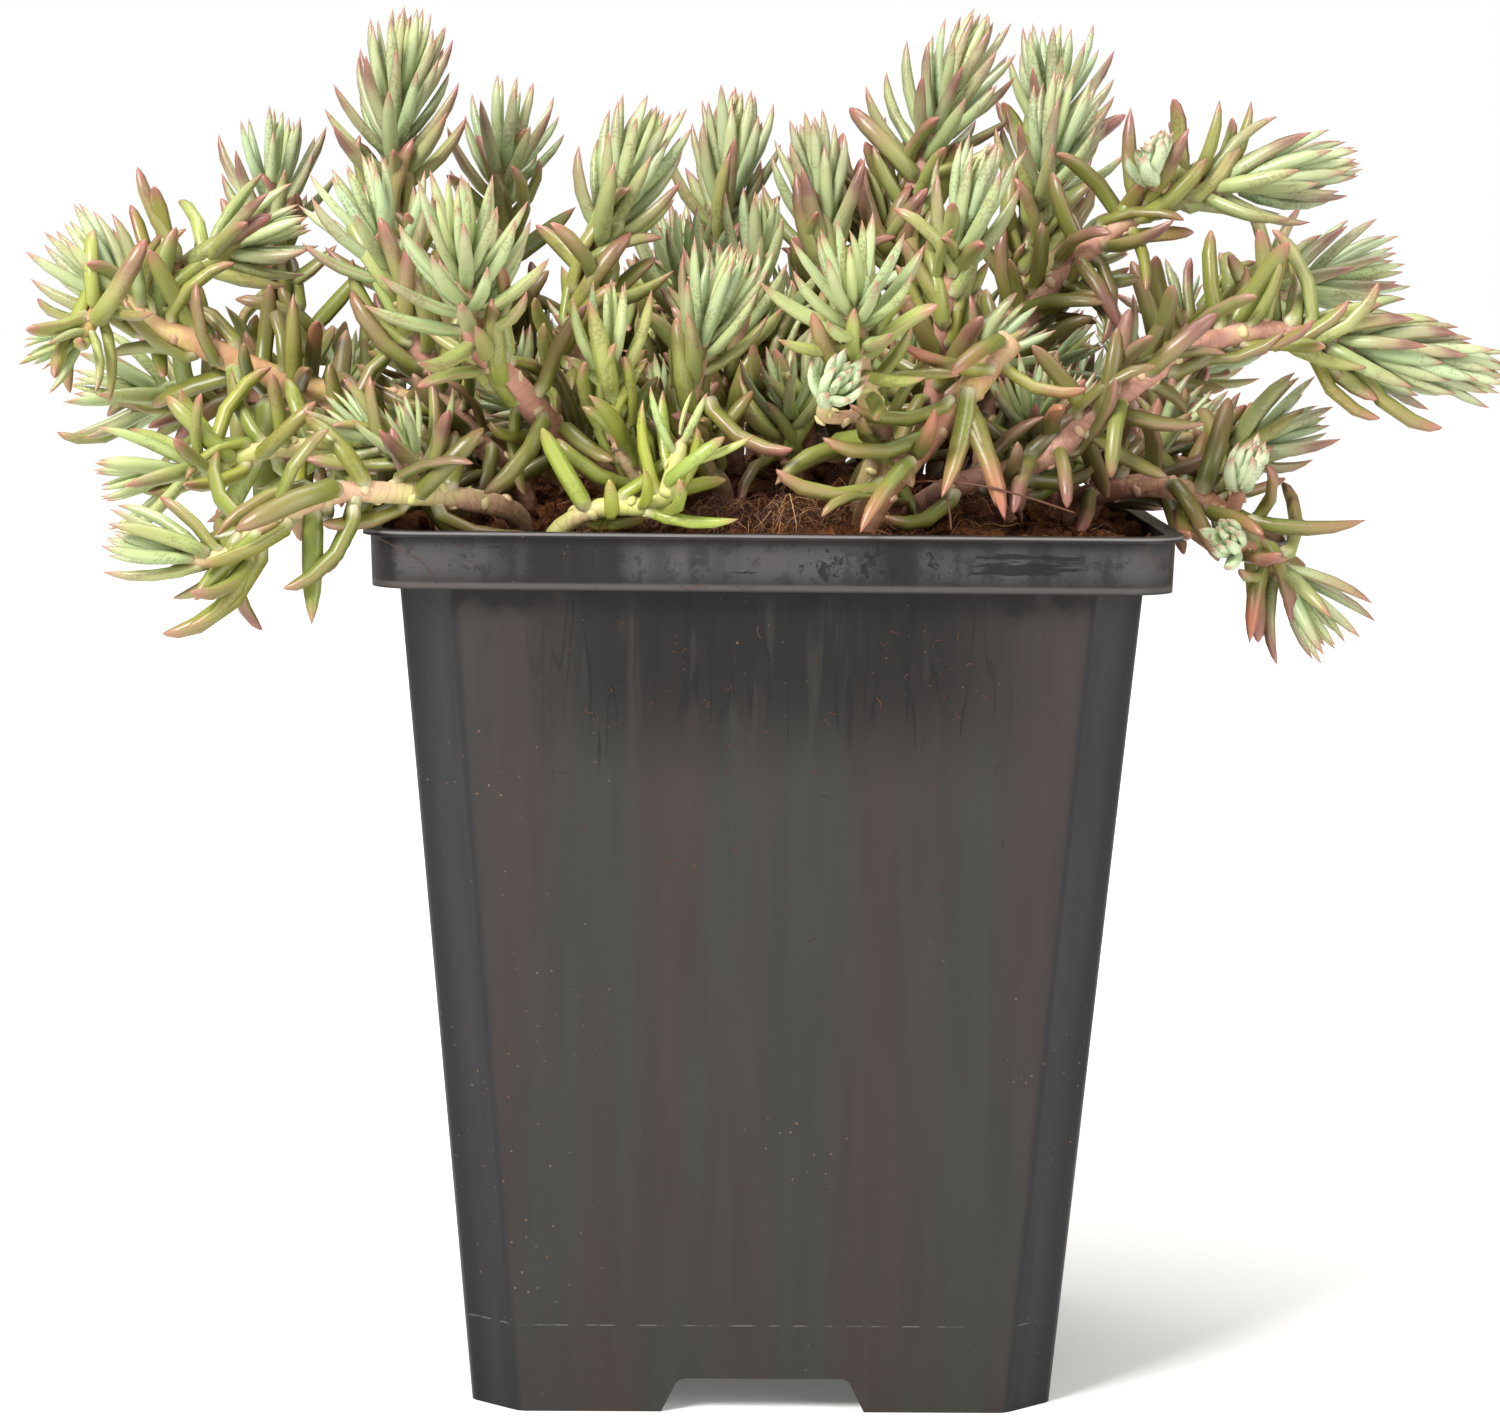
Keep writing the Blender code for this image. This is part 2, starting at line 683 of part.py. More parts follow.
class Obstacles:
    """The stems and leaves placed so far, as short thick lines, each with its shoot's name."""

    def __init__(self):
        self.starts = np.zeros((0, 3))
        self.ends = np.zeros((0, 3))
        self.radii = np.zeros(0)
        self.owners = []

    def add(self, start, end, radius, owner):
        self.starts = np.vstack([self.starts, [start]])
        self.ends = np.vstack([self.ends, [end]])
        self.radii = np.append(self.radii, radius)
        self.owners.append(owner)

    def clearance(self, start, end, radius, owner):
        """The least space between a thick line and every other shoot's."""
        others = np.array([name != owner for name in self.owners])
        if not others.any():
            return 1.0
        distances = segment_distances(
            np.array(start), np.array(end), self.starts[others], self.ends[others]
        )
        return float((distances - self.radii[others]).min()) - radius


def segment_distances(p1, q1, p2, q2):
    """Distances from one segment to many."""
    d1 = q1 - p1
    d2 = q2 - p2
    r = p1 - p2
    a = max(float(d1 @ d1), 1e-14)
    e = np.maximum((d2 * d2).sum(1), 1e-14)
    f = (d2 * r).sum(1)
    c = r @ d1
    b = d2 @ d1
    denominator = np.maximum(a * e - b * b, 1e-14)
    s = np.clip((b * f - c * e) / denominator, 0, 1)
    t = np.clip((b * s + f) / e, 0, 1)
    s = np.clip((b * t - c) / a, 0, 1)
    near_one = p1 + s[:, None] * d1
    near_two = p2 + t[:, None] * d2
    return np.linalg.norm(near_one - near_two, axis=1)


def clear_of_pot(point, radius):
    """True where a ball of this radius stays clear of the rim and the soil."""
    room = radius + GAP
    side = max(abs(point.x), abs(point.y))
    if side < BAND_WIDTH / 2 - WALL - room:
        return point.z > soil_height(point.x, point.y) + room + SOIL_BUMP
    if side < POT_WIDTH / 2 + room:
        return point.z > POT_HEIGHT + room
    return True


# Leaves


def leaf_direction(axis, distance, angle, turn):
    """A leaf's direction, at an angle from its stem's heading and a turn about it."""
    heading = axis.heading(distance)
    side = (axis.side - heading * axis.side.dot(heading)).normalized()
    side = Quaternion(heading, turn) @ side
    return (heading * math.cos(angle) + side * math.sin(angle)).normalized()


def bent_leaf(axis, distance, angle, turn, length, lift):
    """The leaf's root, middle and tip: its outer half turns towards the heading, or down, by its lift."""
    root = axis.at(distance)
    heading = axis.heading(distance)
    first = leaf_direction(axis, distance, angle, turn)
    middle = root + first * length * WIDEST_AT
    second = first.lerp(heading if lift > 0 else DOWN, abs(lift)).normalized()
    return root, middle, middle + second * length * (1 - WIDEST_AT)


def leaf_rules(part, axis, chance):
    """Where each leaf leaves the stem, with its angle, turn, length and lift, from the tip down."""
    rules = []
    turn = chance.uniform(0, math.tau)
    distance = axis.length - axis.head * (1 - CORE_END)
    while distance > part["bare"] * MM:
        share = axis.head_share(distance)
        turn += GOLDEN_ANGLE + chance.uniform(-TURN_DRIFT, TURN_DRIFT)
        if share > 0:
            opening = part["open_angle"] * max(1 - share / CORE_END, 0) ** OPENING_POWER
            angle = math.radians(max(opening, CLOSED_ANGLE) + chance.uniform(-ANGLE_DRIFT, ANGLE_DRIFT))
            longest = (axis.length - distance) / math.cos(angle * (1 - WIDEST_AT))
            length = min(HEAD_LEAF_LENGTH, longest) * (1 + chance.uniform(-1, 1) * HEAD_LENGTH_DRIFT)
            lift = HEAD_LIFT
            step = HEAD_LEAF_STEP * (1 + chance.uniform(-1, 1) * HEAD_STEP_DRIFT)
        else:
            angle = math.radians(chance.uniform(*STEM_LEAF_ANGLES))
            length = STEM_LEAF_LENGTH * (1 + chance.uniform(-1, 1) * STEM_LENGTH_DRIFT)
            lift = chance.choice(STEM_LEAF_LIFTS)
            step = STEM_LEAF_STEP * part["gap"] * (1 + chance.uniform(-1, 1) * STEM_STEP_DRIFT)
        rules.append((distance, angle, turn, length, lift))
        distance -= step
    return rules


# Turns, openings and shares of the length that are tried until a leaf has room
TRIES = [
    (0.0, 0.0, 1.0), (0.0, -0.2, 1.0), (0.35, 0.0, 1.0), (-0.35, 0.0, 1.0), (0.0, 0.0, 0.82),
    (0.35, -0.2, 0.9), (-0.35, -0.2, 0.9), (0.7, 0.0, 0.9), (-0.7, 0.0, 0.9), (0.0, -0.4, 0.85),
    (0.7, -0.3, 0.8), (-0.7, -0.3, 0.8), (1.1, 0.0, 0.8), (-1.1, 0.0, 0.8), (0.0, 0.25, 0.75),
    (1.6, 0.0, 0.75), (-1.6, 0.0, 0.75), (0.0, -0.3, 0.65),
]


def place_leaf(rule, axis, owner, obstacles, outer_halves):
    """The first try that keeps clear of the pot, the soil, the other shoots and the leaves beside it."""
    distance, angle, turn, length, lift = rule
    radius = LEAF_WIDTH / 2
    for more_turn, more_angle, share in TRIES:
        opening = max(angle + more_angle, LEAST_ANGLE)
        leaf = bent_leaf(axis, distance, opening, turn + more_turn, length * share, lift)
        root, middle, tip = leaf
        halfway = middle.lerp(tip, 0.5)
        if not all(clear_of_pot(point, radius) for point in (middle, halfway, tip)):
            continue
        if outer_halves.clearance(middle, tip, radius * TIP_SHARE, "") < 0:
            continue
        if obstacles.clearance(root, middle, radius, owner) < LEAF_GAP:
            continue
        if obstacles.clearance(middle, tip, radius * TIP_SHARE, owner) < LEAF_GAP:
            continue
        return leaf
    return None


def leaf_mesh(root, middle, tip):
    """A pointed leaf with few sides: a cone that widens to its middle, drawn out to a tip."""
    bm = bmesh.new()
    first = middle - root
    bmesh.ops.create_cone(
        bm, cap_ends=True, segments=LEAF_SIDES, radius1=LEAF_WIDTH / 2 * ROOT_SHARE, radius2=LEAF_WIDTH / 2,
        depth=first.length,
    )
    top = max(bm.faces, key=lambda face: face.calc_center_median().z)
    grown = bmesh.ops.extrude_discrete_faces(bm, faces=[top])["faces"][0]
    turned = UP.rotation_difference(first.normalized()).to_matrix().to_4x4()
    place = Matrix.Translation((root + middle) / 2) @ turned
    bmesh.ops.transform(bm, matrix=place, verts=bm.verts)
    bmesh.ops.pointmerge(bm, verts=grown.verts[:], merge_co=tip)
    bmesh.ops.recalc_face_normals(bm, faces=bm.faces)
    return bm


# Stem solids


def tube_distances(axis):
    """Where the tube has a ring: evenly along the stem, then at set shares of the head."""
    stem_length = axis.length - axis.head
    count = max(1, round(stem_length / TUBE_STEP))
    distances = [stem_length * i / count for i in range(count)]
    if not axis.head:
        return [*distances, axis.length]
    return distances + [stem_length + axis.head * share for share in HEAD_RINGS]


def stem_mesh(name, axis, collection):
    """A stem or a branch as a round tube, thicker inside its head."""
    curve = bpy.data.curves.new(name, "CURVE")
    curve.dimensions = "3D"
    curve.bevel_depth = 1.0
    curve.bevel_resolution = 1 if axis.radius > THICK_STEM else 0
    curve.use_fill_caps = True
    distances = tube_distances(axis)
    places = [(axis.at(d), axis.thickness(d)) for d in distances]
    if axis.buried:
        places.insert(0, (axis.buried, axis.radius))
    spline = curve.splines.new("POLY")
    spline.points.add(len(places) - 1)
    for point, (place, radius) in zip(spline.points, places):
        point.co = (*place, 1.0)
        point.radius = radius
    holder = bpy.data.objects.new(name, curve)
    collection.objects.link(holder)
    graph = bpy.context.evaluated_depsgraph_get()
    graph.update()
    mesh = bpy.data.meshes.new_from_object(holder.evaluated_get(graph))
    bm = bmesh.new()
    bm.from_mesh(mesh)
    bmesh.ops.remove_doubles(bm, verts=bm.verts, dist=WELD)
    bmesh.ops.transform(bm, matrix=holder.matrix_world, verts=bm.verts)
    bpy.data.objects.remove(holder, do_unlink=True)
    bpy.data.meshes.remove(mesh)
    return bm


def make_shoot(name, axes, leaves, parts, material):
    """Joins a shoot's stem, branches and leaves in one solid."""
    shoot = object_from_bmesh(stem_mesh(name, axes[0][1], parts), name, parts, material)
    group = new_collection(f"{name}_pieces", hidden=True)
    for i, (_, axis) in enumerate(axes[1:]):
        add_cutter(stem_mesh(f"{name}_branch_{i}", axis, parts), f"{name}_branch_{i}", group)
    for leaf in leaves:
        add_cutter(leaf_mesh(*leaf), f"{name}_leaf", group)
    boolean(shoot, "UNION", group=group)
    remove_group(group)
    keep_largest_body(shoot)
    return shoot


def add_hole(axis, holes):
    """A plain hole in the soil round a stem's buried end."""
    radius = (axis.radius + HOLE_ROOM) / math.cos(math.pi / HOLE_SIDES)
    low = axis.buried - axis.start * GAP
    high = axis.points[0] + axis.start * 3 * SOIL_BUMP
    bm = bmesh.new()
    bmesh.ops.create_cone(
        bm, cap_ends=True, segments=HOLE_SIDES, radius1=radius, radius2=radius, depth=(high - low).length
    )
    turned = UP.rotation_difference(axis.start).to_matrix().to_4x4()
    bmesh.ops.transform(bm, matrix=Matrix.Translation((low + high) / 2) @ turned, verts=bm.verts)
    add_cutter(bm, "stem_hole", holes)


def stem_obstacles(shoots):
    """Every shoot's stems as thick lines, for the leaves to keep clear of."""
    obstacles = Obstacles()
    for name, axes in shoots.items():
        for _, axis in axes:
            for near, far in zip(axis.points[::3], axis.points[3::3] + axis.points[-1:]):
                obstacles.add(near, far, axis.radius + axis.flare * FLARE_ROOM, name)
    return obstacles


def plan_shoots():
    """Every shoot's axes and leaves: all stems first, then the heads, then the leaves down the stems."""
    shoots = all_axes()
    obstacles = stem_obstacles(shoots)
    chance = random.Random(SEED)
    rules = {}
    for name, axes in shoots.items():
        rules[name] = [(axis, rule) for part, axis in axes for rule in leaf_rules(part, axis, chance)]
    leaves = {name: [] for name in shoots}
    outer_halves = {name: Obstacles() for name in shoots}
    for in_head in (True, False):
        for name in shoots:
            for axis, rule in rules[name]:
                if (axis.head_share(rule[0]) > 0) != in_head:
                    continue
                leaf = place_leaf(rule, axis, name, obstacles, outer_halves[name])
                if not leaf:
                    continue
                root, middle, tip = leaf
                leaves[name].append(leaf)
                obstacles.add(root, middle, LEAF_WIDTH / 2, name)
                obstacles.add(middle, tip, LEAF_WIDTH / 2 * TIP_SHARE, name)
                outer_halves[name].add(middle, tip, LEAF_WIDTH / 2 * TIP_SHARE, name)
    return shoots, leaves


def main():
    clear_scene()
    parts = new_collection(OBJECT_NAME)
    cutters = new_collection("cutters", hidden=True)
    holes = new_collection("stem_holes", hidden=True)
    plastic = make_material("pot_plastic", (0.055, 0.053, 0.055), 0.42)
    earth = make_material("soil", (0.120, 0.050, 0.022), 0.95)
    make_pot(parts, cutters, plastic)
    shoots, leaves = plan_shoots()
    for name, axes in shoots.items():
        green = make_material(f"{name}_green", (0.30, 0.42, 0.19), 0.55)
        make_shoot(name, axes, leaves[name], parts, green)
        add_hole(axes[0][1], holes)
    make_soil(parts, cutters, earth, holes)


main()
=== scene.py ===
# Potted sedum: the finished look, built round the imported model. The front faces -Y and +Z is up.
import math
import random

import bmesh
import bpy
import numpy as np
from mathutils import Matrix, Quaternion, Vector
from mathutils.noise import fractal, noise


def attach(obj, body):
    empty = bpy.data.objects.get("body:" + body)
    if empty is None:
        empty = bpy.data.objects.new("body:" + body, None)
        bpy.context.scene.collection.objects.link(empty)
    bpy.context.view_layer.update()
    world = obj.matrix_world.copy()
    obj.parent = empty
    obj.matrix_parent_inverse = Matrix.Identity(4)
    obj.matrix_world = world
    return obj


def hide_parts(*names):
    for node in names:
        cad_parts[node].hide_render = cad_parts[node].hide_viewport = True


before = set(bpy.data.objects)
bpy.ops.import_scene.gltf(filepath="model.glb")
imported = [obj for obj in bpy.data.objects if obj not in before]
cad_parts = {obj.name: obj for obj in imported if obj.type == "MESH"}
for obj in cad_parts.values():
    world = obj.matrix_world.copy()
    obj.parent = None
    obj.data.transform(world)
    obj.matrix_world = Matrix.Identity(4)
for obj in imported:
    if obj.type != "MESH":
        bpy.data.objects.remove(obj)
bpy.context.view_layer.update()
mm = 0.001  # the dictionaries below are in millimetres and degrees
upward = Vector((0, 0, 1))
downward = Vector((0, 0, -1))


# Camera, floor and light

cameraView = {
    "place": (-16.70, -588.90, 137.31),
    "pitch": 5.91,  # down
    "yaw": 1.486,  # to the right
    "roll": 0.633,
    "lens": 120.72,
}

studio = {
    "floorHalf": 4000,
    "floorTint": "f2f1ee",
    # seen by the camera alone: the far floor glows, so that it runs into the white backdrop
    "floorGlow": [(0.0, "6e6e6d"), (1.0, "f4f3f1")],
    "glowReach": (0.12, 0.7),  # in metres
    "floorGrain": (300, 0.5),
    "floorBump": (0.03, 0.1),
    "worldTint": "ffffff",
    "worldPower": 0.31,
    # name: place, what it looks at, size, power
    "lamps": {
        "keyLamp": ((-480, -640, 640), (0, 0, 110), 340, 15.4),
        "fillLamp": ((640, -560, 360), (0, 0, 100), 560, 4.5),
        "topLamp": ((0, 60, 900), (0, 0, 120), 600, 6.0),
    },
}


def aimedAt(place, target):
    return (Vector(target) - Vector(place)).to_track_quat("-Z", "Y").to_matrix().to_4x4()


def makeCamera():
    pitch, yaw, roll = (math.radians(cameraView[key]) for key in ("pitch", "yaw", "roll"))
    forward = Vector((math.sin(yaw) * math.cos(pitch), math.cos(yaw) * math.cos(pitch), -math.sin(pitch)))
    right = Vector((math.cos(yaw), -math.sin(yaw), 0))
    turned = Matrix((right, right.cross(forward), -forward)).transposed() @ Matrix.Rotation(roll, 3, "Z")
    data = bpy.data.cameras.new("photoCamera")
    data.lens = cameraView["lens"]
    data.sensor_width = 36
    camera = bpy.data.objects.new("photoCamera", data)
    camera.matrix_world = Matrix.Translation(Vector(cameraView["place"]) * mm) @ turned.to_4x4()
    bpy.context.scene.collection.objects.link(camera)
    bpy.context.scene.camera = camera


def makeLamps():
    for name, (place, target, size, power) in studio["lamps"].items():
        data = bpy.data.lights.new(name, "AREA")
        data.size = size * mm
        data.energy = power
        lamp = bpy.data.objects.new(name, data)
        lamp.matrix_world = Matrix.Translation(Vector(place) * mm) @ aimedAt(place, target)
        bpy.context.scene.collection.objects.link(lamp)
    world = bpy.data.worlds.new("studioWorld")
    world.use_nodes = True
    tree = world.node_tree
    white = tint(studio["worldTint"], plain=True)
    light = tree.nodes["Background"]
    setInputs(tree, light, {"Color": white, "Strength": studio["worldPower"]})
    backdrop = put(tree, "Background", {"Color": white, "Strength": 1.0})
    seen = put(tree, "LightPath").outputs["Is Camera Ray"]
    either = put(tree, "MixShader", {0: seen, 1: light.outputs[0], 2: backdrop.outputs[0]})
    tree.links.new(either.outputs[0], tree.nodes["World Output"].inputs["Surface"])
    bpy.context.scene.world = world
    bpy.context.scene.view_settings.view_transform = "Standard"  # as plain as the photo's white backdrop


def makeFloor(material):
    bm = bmesh.new()
    bmesh.ops.create_grid(bm, x_segments=1, y_segments=1, size=studio["floorHalf"] * mm)
    newObject(bm, "studioFloor", [material])


# Meshes and objects


def asMesh(bm, name):
    mesh = bpy.data.meshes.new(name)
    bm.to_mesh(mesh)
    bm.free()
    return mesh


def newObject(bm, name, materials):
    for face in bm.faces:
        face.smooth = True
    made = bpy.data.objects.new(name, asMesh(bm, name))
    for material in materials:
        made.data.materials.append(material)
    bpy.context.scene.collection.objects.link(made)
    return made


def asPiece(piece, slotName, *replaced):
    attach(piece, "root")
    if replaced:
        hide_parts(*replaced)


def applyModifiers(piece):
    graph = bpy.context.evaluated_depsgraph_get()
    graph.update()
    finished = bpy.data.meshes.new_from_object(piece.evaluated_get(graph))
    before = piece.data
    piece.modifiers.clear()
    piece.data = finished
    bpy.data.meshes.remove(before)


def carve(piece, cutterBm):  # takes one shape away from another
    cutter = newObject(cutterBm, "cutter", [])
    modifier = piece.modifiers.new("carve", "BOOLEAN")
    modifier.operation = "DIFFERENCE"
    modifier.solver = "EXACT"
    modifier.object = cutter
    applyModifiers(piece)
    bpy.data.objects.remove(cutter, do_unlink=True)


def ofType(items, kind):
    return [item for item in items if isinstance(item, kind)]


def sweep(places, sides, along=None):  # a round body through placed and sized rings, closed to a point
    along = along or [0] * len(places)
    bm = bmesh.new()
    shape = bm.verts.layers.float_color.new("leafShape")
    ring = bmesh.ops.create_circle(bm, cap_ends=True, segments=sides, radius=1, matrix=places[0])["verts"]
    edges = bm.edges[:]
    for vert in ring:
        vert[shape] = (along[0], 0, 0, 0)
    for before, after, share in zip(places, places[1:], along[1:]):
        grown = bmesh.ops.extrude_edge_only(bm, edges=edges)["geom"]
        edges = ofType(grown, bmesh.types.BMEdge)
        ring = ofType(grown, bmesh.types.BMVert)
        bmesh.ops.transform(bm, matrix=after @ before.inverted(), verts=ring)
        for vert in ring:
            vert[shape] = (share, 0, 0, 0)
    bmesh.ops.pointmerge(bm, verts=ring, merge_co=places[-1].translation)
    bmesh.ops.recalc_face_normals(bm, faces=bm.faces)
    return bm


def tube(points, radii, sides, along=None):  # a round tube along points, kept from twisting
    places = []
    direction = (points[1] - points[0]).normalized()
    frameTurn = upward.rotation_difference(direction)
    for i, (point, radius) in enumerate(zip(points, radii)):
        ahead = (points[min(i + 1, len(points) - 1)] - points[max(i - 1, 0)]).normalized()
        frameTurn = direction.rotation_difference(ahead) @ frameTurn
        direction = ahead
        size = Matrix.Diagonal((radius, radius, radius, 1))
        places.append(Matrix.Translation(point) @ frameTurn.to_matrix().to_4x4() @ size)
    return sweep(places, sides, along)


def tonedMesh():  # an empty mesh whose points hold the tones and shapes that the materials read
    bm = bmesh.new()
    for layer in ("leafTone", "leafShape"):
        bm.verts.layers.float_color.new(layer)
    return bm


def stamp(bm, shape, place, tone=None, mood=(0, 0), material=0):  # adds a placed copy of a shape to a piece
    firstVert, firstFace = len(bm.verts), len(bm.faces)
    copy = shape.copy()
    copy.transform(place)
    bm.from_mesh(copy)
    bpy.data.meshes.remove(copy)
    bm.verts.ensure_lookup_table()
    if material:
        bm.faces.ensure_lookup_table()
        for face in bm.faces[firstFace:]:
            face.material_index = material
    if tone:
        toneLayer, shapeLayer = (bm.verts.layers.float_color[name] for name in ("leafTone", "leafShape"))
        for vert in bm.verts[firstVert:]:
            vert[toneLayer] = tone
            vert[shapeLayer] = (*vert[shapeLayer][:2], *mood)


def stampTube(bm, points, radii, sides, tone, along=None, material=0):
    mesh = asMesh(tube(points, radii, sides, along), "tube")
    stamp(bm, mesh, Matrix.Identity(4), tone, material=material)
    bpy.data.meshes.remove(mesh)


def framed(root, *columns):  # a place whose own axes are three given vectors
    return Matrix.Translation(root) @ Matrix(columns).transposed().to_4x4()


# Shader building blocks

surfaceShare = 0.82  # how much of a colour in the photo is the surface's own


def tint(code, plain=False):  # a screen colour code as linear light
    parts = [int(code[i : i + 2], 16) / 255 for i in (0, 2, 4)]
    parts = [part / 12.92 if part <= 0.04045 else ((part + 0.055) / 1.055) ** 2.4 for part in parts]
    if not plain:
        parts = [surfaceShare * max(part, 0.001) for part in parts]
    return (*parts, 1.0)


def setInputs(tree, node, inputs):
    for key, value in inputs.items():
        if isinstance(value, bpy.types.NodeSocket):
            tree.links.new(value, node.inputs[key])
        else:
            node.inputs[key].default_value = value


def put(tree, kind, inputs={}, **settings):
    made = tree.nodes.new("ShaderNode" + kind)
    for key, value in settings.items():
        setattr(made, key, value)
    setInputs(tree, made, inputs)
    return made


def mathNode(tree, operation, *values):
    return put(tree, "Math", dict(enumerate(values)), operation=operation).outputs[0]


def times(tree, value, *factors):
    for factor in factors:
        value = mathNode(tree, "MULTIPLY", value, factor)
    return value


def farFrom(tree, value, middle):
    return mathNode(tree, "ABSOLUTE", mathNode(tree, "SUBTRACT", value, middle))


def between(tree, value, low, high, toLow=0.0, toHigh=1.0):
    inputs = {0: value, 1: low, 2: high, 3: toLow, 4: toHigh}
    return put(tree, "MapRange", inputs, interpolation_type="SMOOTHSTEP").outputs[0]


def mixTint(tree, amount, first, second, blend="MIX"):
    first, second = (tint(value) if isinstance(value, str) else value for value in (first, second))
    return put(tree, "Mix", {0: amount, 6: first, 7: second}, data_type="RGBA", blend_type=blend).outputs[2]


def layered(tree, colour, look, **amounts):  # lays a look's named colours over each other
    for name, amount in amounts.items():
        colour = mixTint(tree, amount, colour, look[name])
    return colour


def ramp(tree, value, stops):
    made = put(tree, "ValToRGB", {0: value})
    while len(made.color_ramp.elements) < len(stops):
        made.color_ramp.elements.new(0.5)
    for element, (place, code) in zip(made.color_ramp.elements, stops):
        element.position = place
        element.color = tint(code)
    return made.outputs[0]


def objectPlace(tree):
    return put(tree, "TexCoord").outputs["Object"]


def noiseOf(tree, place, scale, detail, roughness=0.5):
    inputs = {"Vector": place, "Scale": scale, "Detail": detail, "Roughness": roughness}
    return put(tree, "TexNoise", inputs).outputs[0]


def stretchedNoise(tree, place, scales, detail, roughness=0.5):
    stretched = put(tree, "Mapping", {"Vector": place, "Scale": scales}).outputs[0]
    return noiseOf(tree, stretched, 1.0, detail, roughness)


def attribute(tree, name):  # its three channels, then its alpha
    held = put(tree, "Attribute", attribute_name=name)
    return (*put(tree, "SeparateColor", {0: held.outputs["Color"]}).outputs, held.outputs["Alpha"])


def newMaterial(name):
    material = bpy.data.materials.new(name)
    material.use_nodes = True
    return material, material.node_tree, material.node_tree.nodes["Principled BSDF"]


def newGroup(name, inputs, outputs):
    group = bpy.data.node_groups.new(name, "ShaderNodeTree")
    for label, default in inputs.items():
        socket = group.interface.new_socket(label, in_out="INPUT", socket_type="NodeSocketFloat")
        socket.default_value = default
    for label in outputs:
        group.interface.new_socket(label, in_out="OUTPUT", socket_type="NodeSocketFloat")
    return group, group.nodes.new("NodeGroupInput").outputs, group.nodes.new("NodeGroupOutput")


def speckGroup():  # small scattered specks, and a soft cloud that gathers them
    inputs = {"Scale": 900, "Amount": 0.3, "Cloud Scale": 60}
    group, given, end = newGroup("scatteredSpecks", inputs, ["Mask", "Cloud"])
    place = objectPlace(group)
    cells = put(group, "TexVoronoi", {"Vector": place, "Scale": given["Scale"], "Randomness": 1.0})
    cloud = noiseOf(group, place, given["Cloud Scale"], 3.0)
    reach = times(group, given["Amount"], between(group, cloud, 0.35, 0.7))
    dots = mathNode(group, "SUBTRACT", reach, cells.outputs["Distance"])
    setInputs(group, end, {"Mask": between(group, dots, 0.0, 0.08), "Cloud": cloud})
    return group


def grainGroup():  # fine surface grain at two sizes
    group, given, end = newGroup("fineGrain", {"Scale": 1200, "Coarse Share": 0.5}, ["Height"])
    place = objectPlace(group)
    fine = noiseOf(group, place, given["Scale"], 4.0)
    coarse = noiseOf(group, place, times(group, given["Scale"], 0.16), 2.0)
    height = mathNode(group, "ADD", fine, times(group, coarse, given["Coarse Share"]))
    setInputs(group, end, {"Height": height})
    return group


def specksOf(tree, specks, scale, amount, cloudScale):  # the mask of the specks, then their cloud
    inputs = {"Scale": scale, "Amount": amount, "Cloud Scale": cloudScale}
    return put(tree, "Group", inputs, node_tree=specks).outputs


def grainOf(tree, grain, scale, coarseShare):
    return put(tree, "Group", {"Scale": scale, "Coarse Share": coarseShare}, node_tree=grain).outputs[0]


def finish(tree, shader, height, bump, distance, inputs):
    bumped = put(tree, "Bump", {"Strength": bump, "Distance": distance * mm, "Height": height})
    setInputs(tree, shader, {"Normal": bumped.outputs[0], **inputs})


# Materials

leafLook = {
    "ages": [(0.0, "dcec9c"), (0.07, "cbe2ac"), (0.25, "bdd59a"), (0.45, "b2bc6c"), (0.65, "8e9444"),
             (1.0, "58562a")],
    "lime": "bccb5c",
    "warmShade": "fff3cc",
    "coolShade": "dfecda",
    "flush": "946a59",
    "deepFlush": "6f463f",
    "tip": "a8685e",
    "burn": "af6d52",
    "spur": "e2d6b6",
    "speckle": "675c38",
    "bloom": "e2ebda",
    "bud": "cfdeb4",
    "specks": (2700, 0.62, 240),
    "speckShare": 0.4,
    "grain": (2200, 0.8),
    "bump": (0.25, 0.08),
    "roughness": 0.36,
    "limeShare": 0.8,
    "shadeShare": 0.85,
    # where each colour starts and is full: along the leaf, from its inner side to its back, or by its age
    "bloomAges": (0.6, 0.05, 0.0, 0.2),
    "edgeMiddle": 0.42,
    "edgeWidth": (0.16, 0.04),
    "edgeFlush": (0.5, 0.12),
    "patches": (0.25, 0.65, 0.7, 1.0),
    "flushAlong": (0.05, 0.95, 0.1, 1.1),
    "flushBack": (0.15, 0.75, 0.35, 1.0),
    "flushMost": 0.88,
    "deepFrom": (0.55, 1.0, 0.0, 0.6),
    "burnAlong": (0.35, 0.8),
    "tipAlong": (0.76, 0.99),
    "tipAges": (0.45, 0.9, 0.82, 0.3),
    "spurAlong": (0.14, 0.0, 0.0, 0.7),
}

stemLook = {
    "tones": [(0.0, "c8cb74"), (0.25, "ccb084"), (0.5, "bf8976"), (0.75, "b17b60"), (0.9, "b98d60"),
              (1.0, "c6aa66")],
    "old": "84604a",
    "young": "d0bd8e",
    "crack": "6a4636",
    "scuff": "dcb592",
    "specks": (1500, 0.7, 160),
    "scuffShare": 0.35,
    "grain": (1500, 1.0),
    "bump": (0.45, 0.12),
    "roughness": 0.55,
    "toneDrift": (0.3, 0.7, -0.16, 0.16),
    "oldAges": (0.45, 1.0, 0.0, 0.42),
    "youngAges": (0.25, 0.0, 0.0, 0.4),
    # cracks that ring the stem: how close they stand, how much they wander, and how deep they are by age
    "rings": 9.0,
    "ringDrift": 5.0,
    "ringTurn": 6.0,
    "ringWidth": (0.88, 1.0),
    "ringAges": (0.1, 0.8, 0.06, 0.34),
}

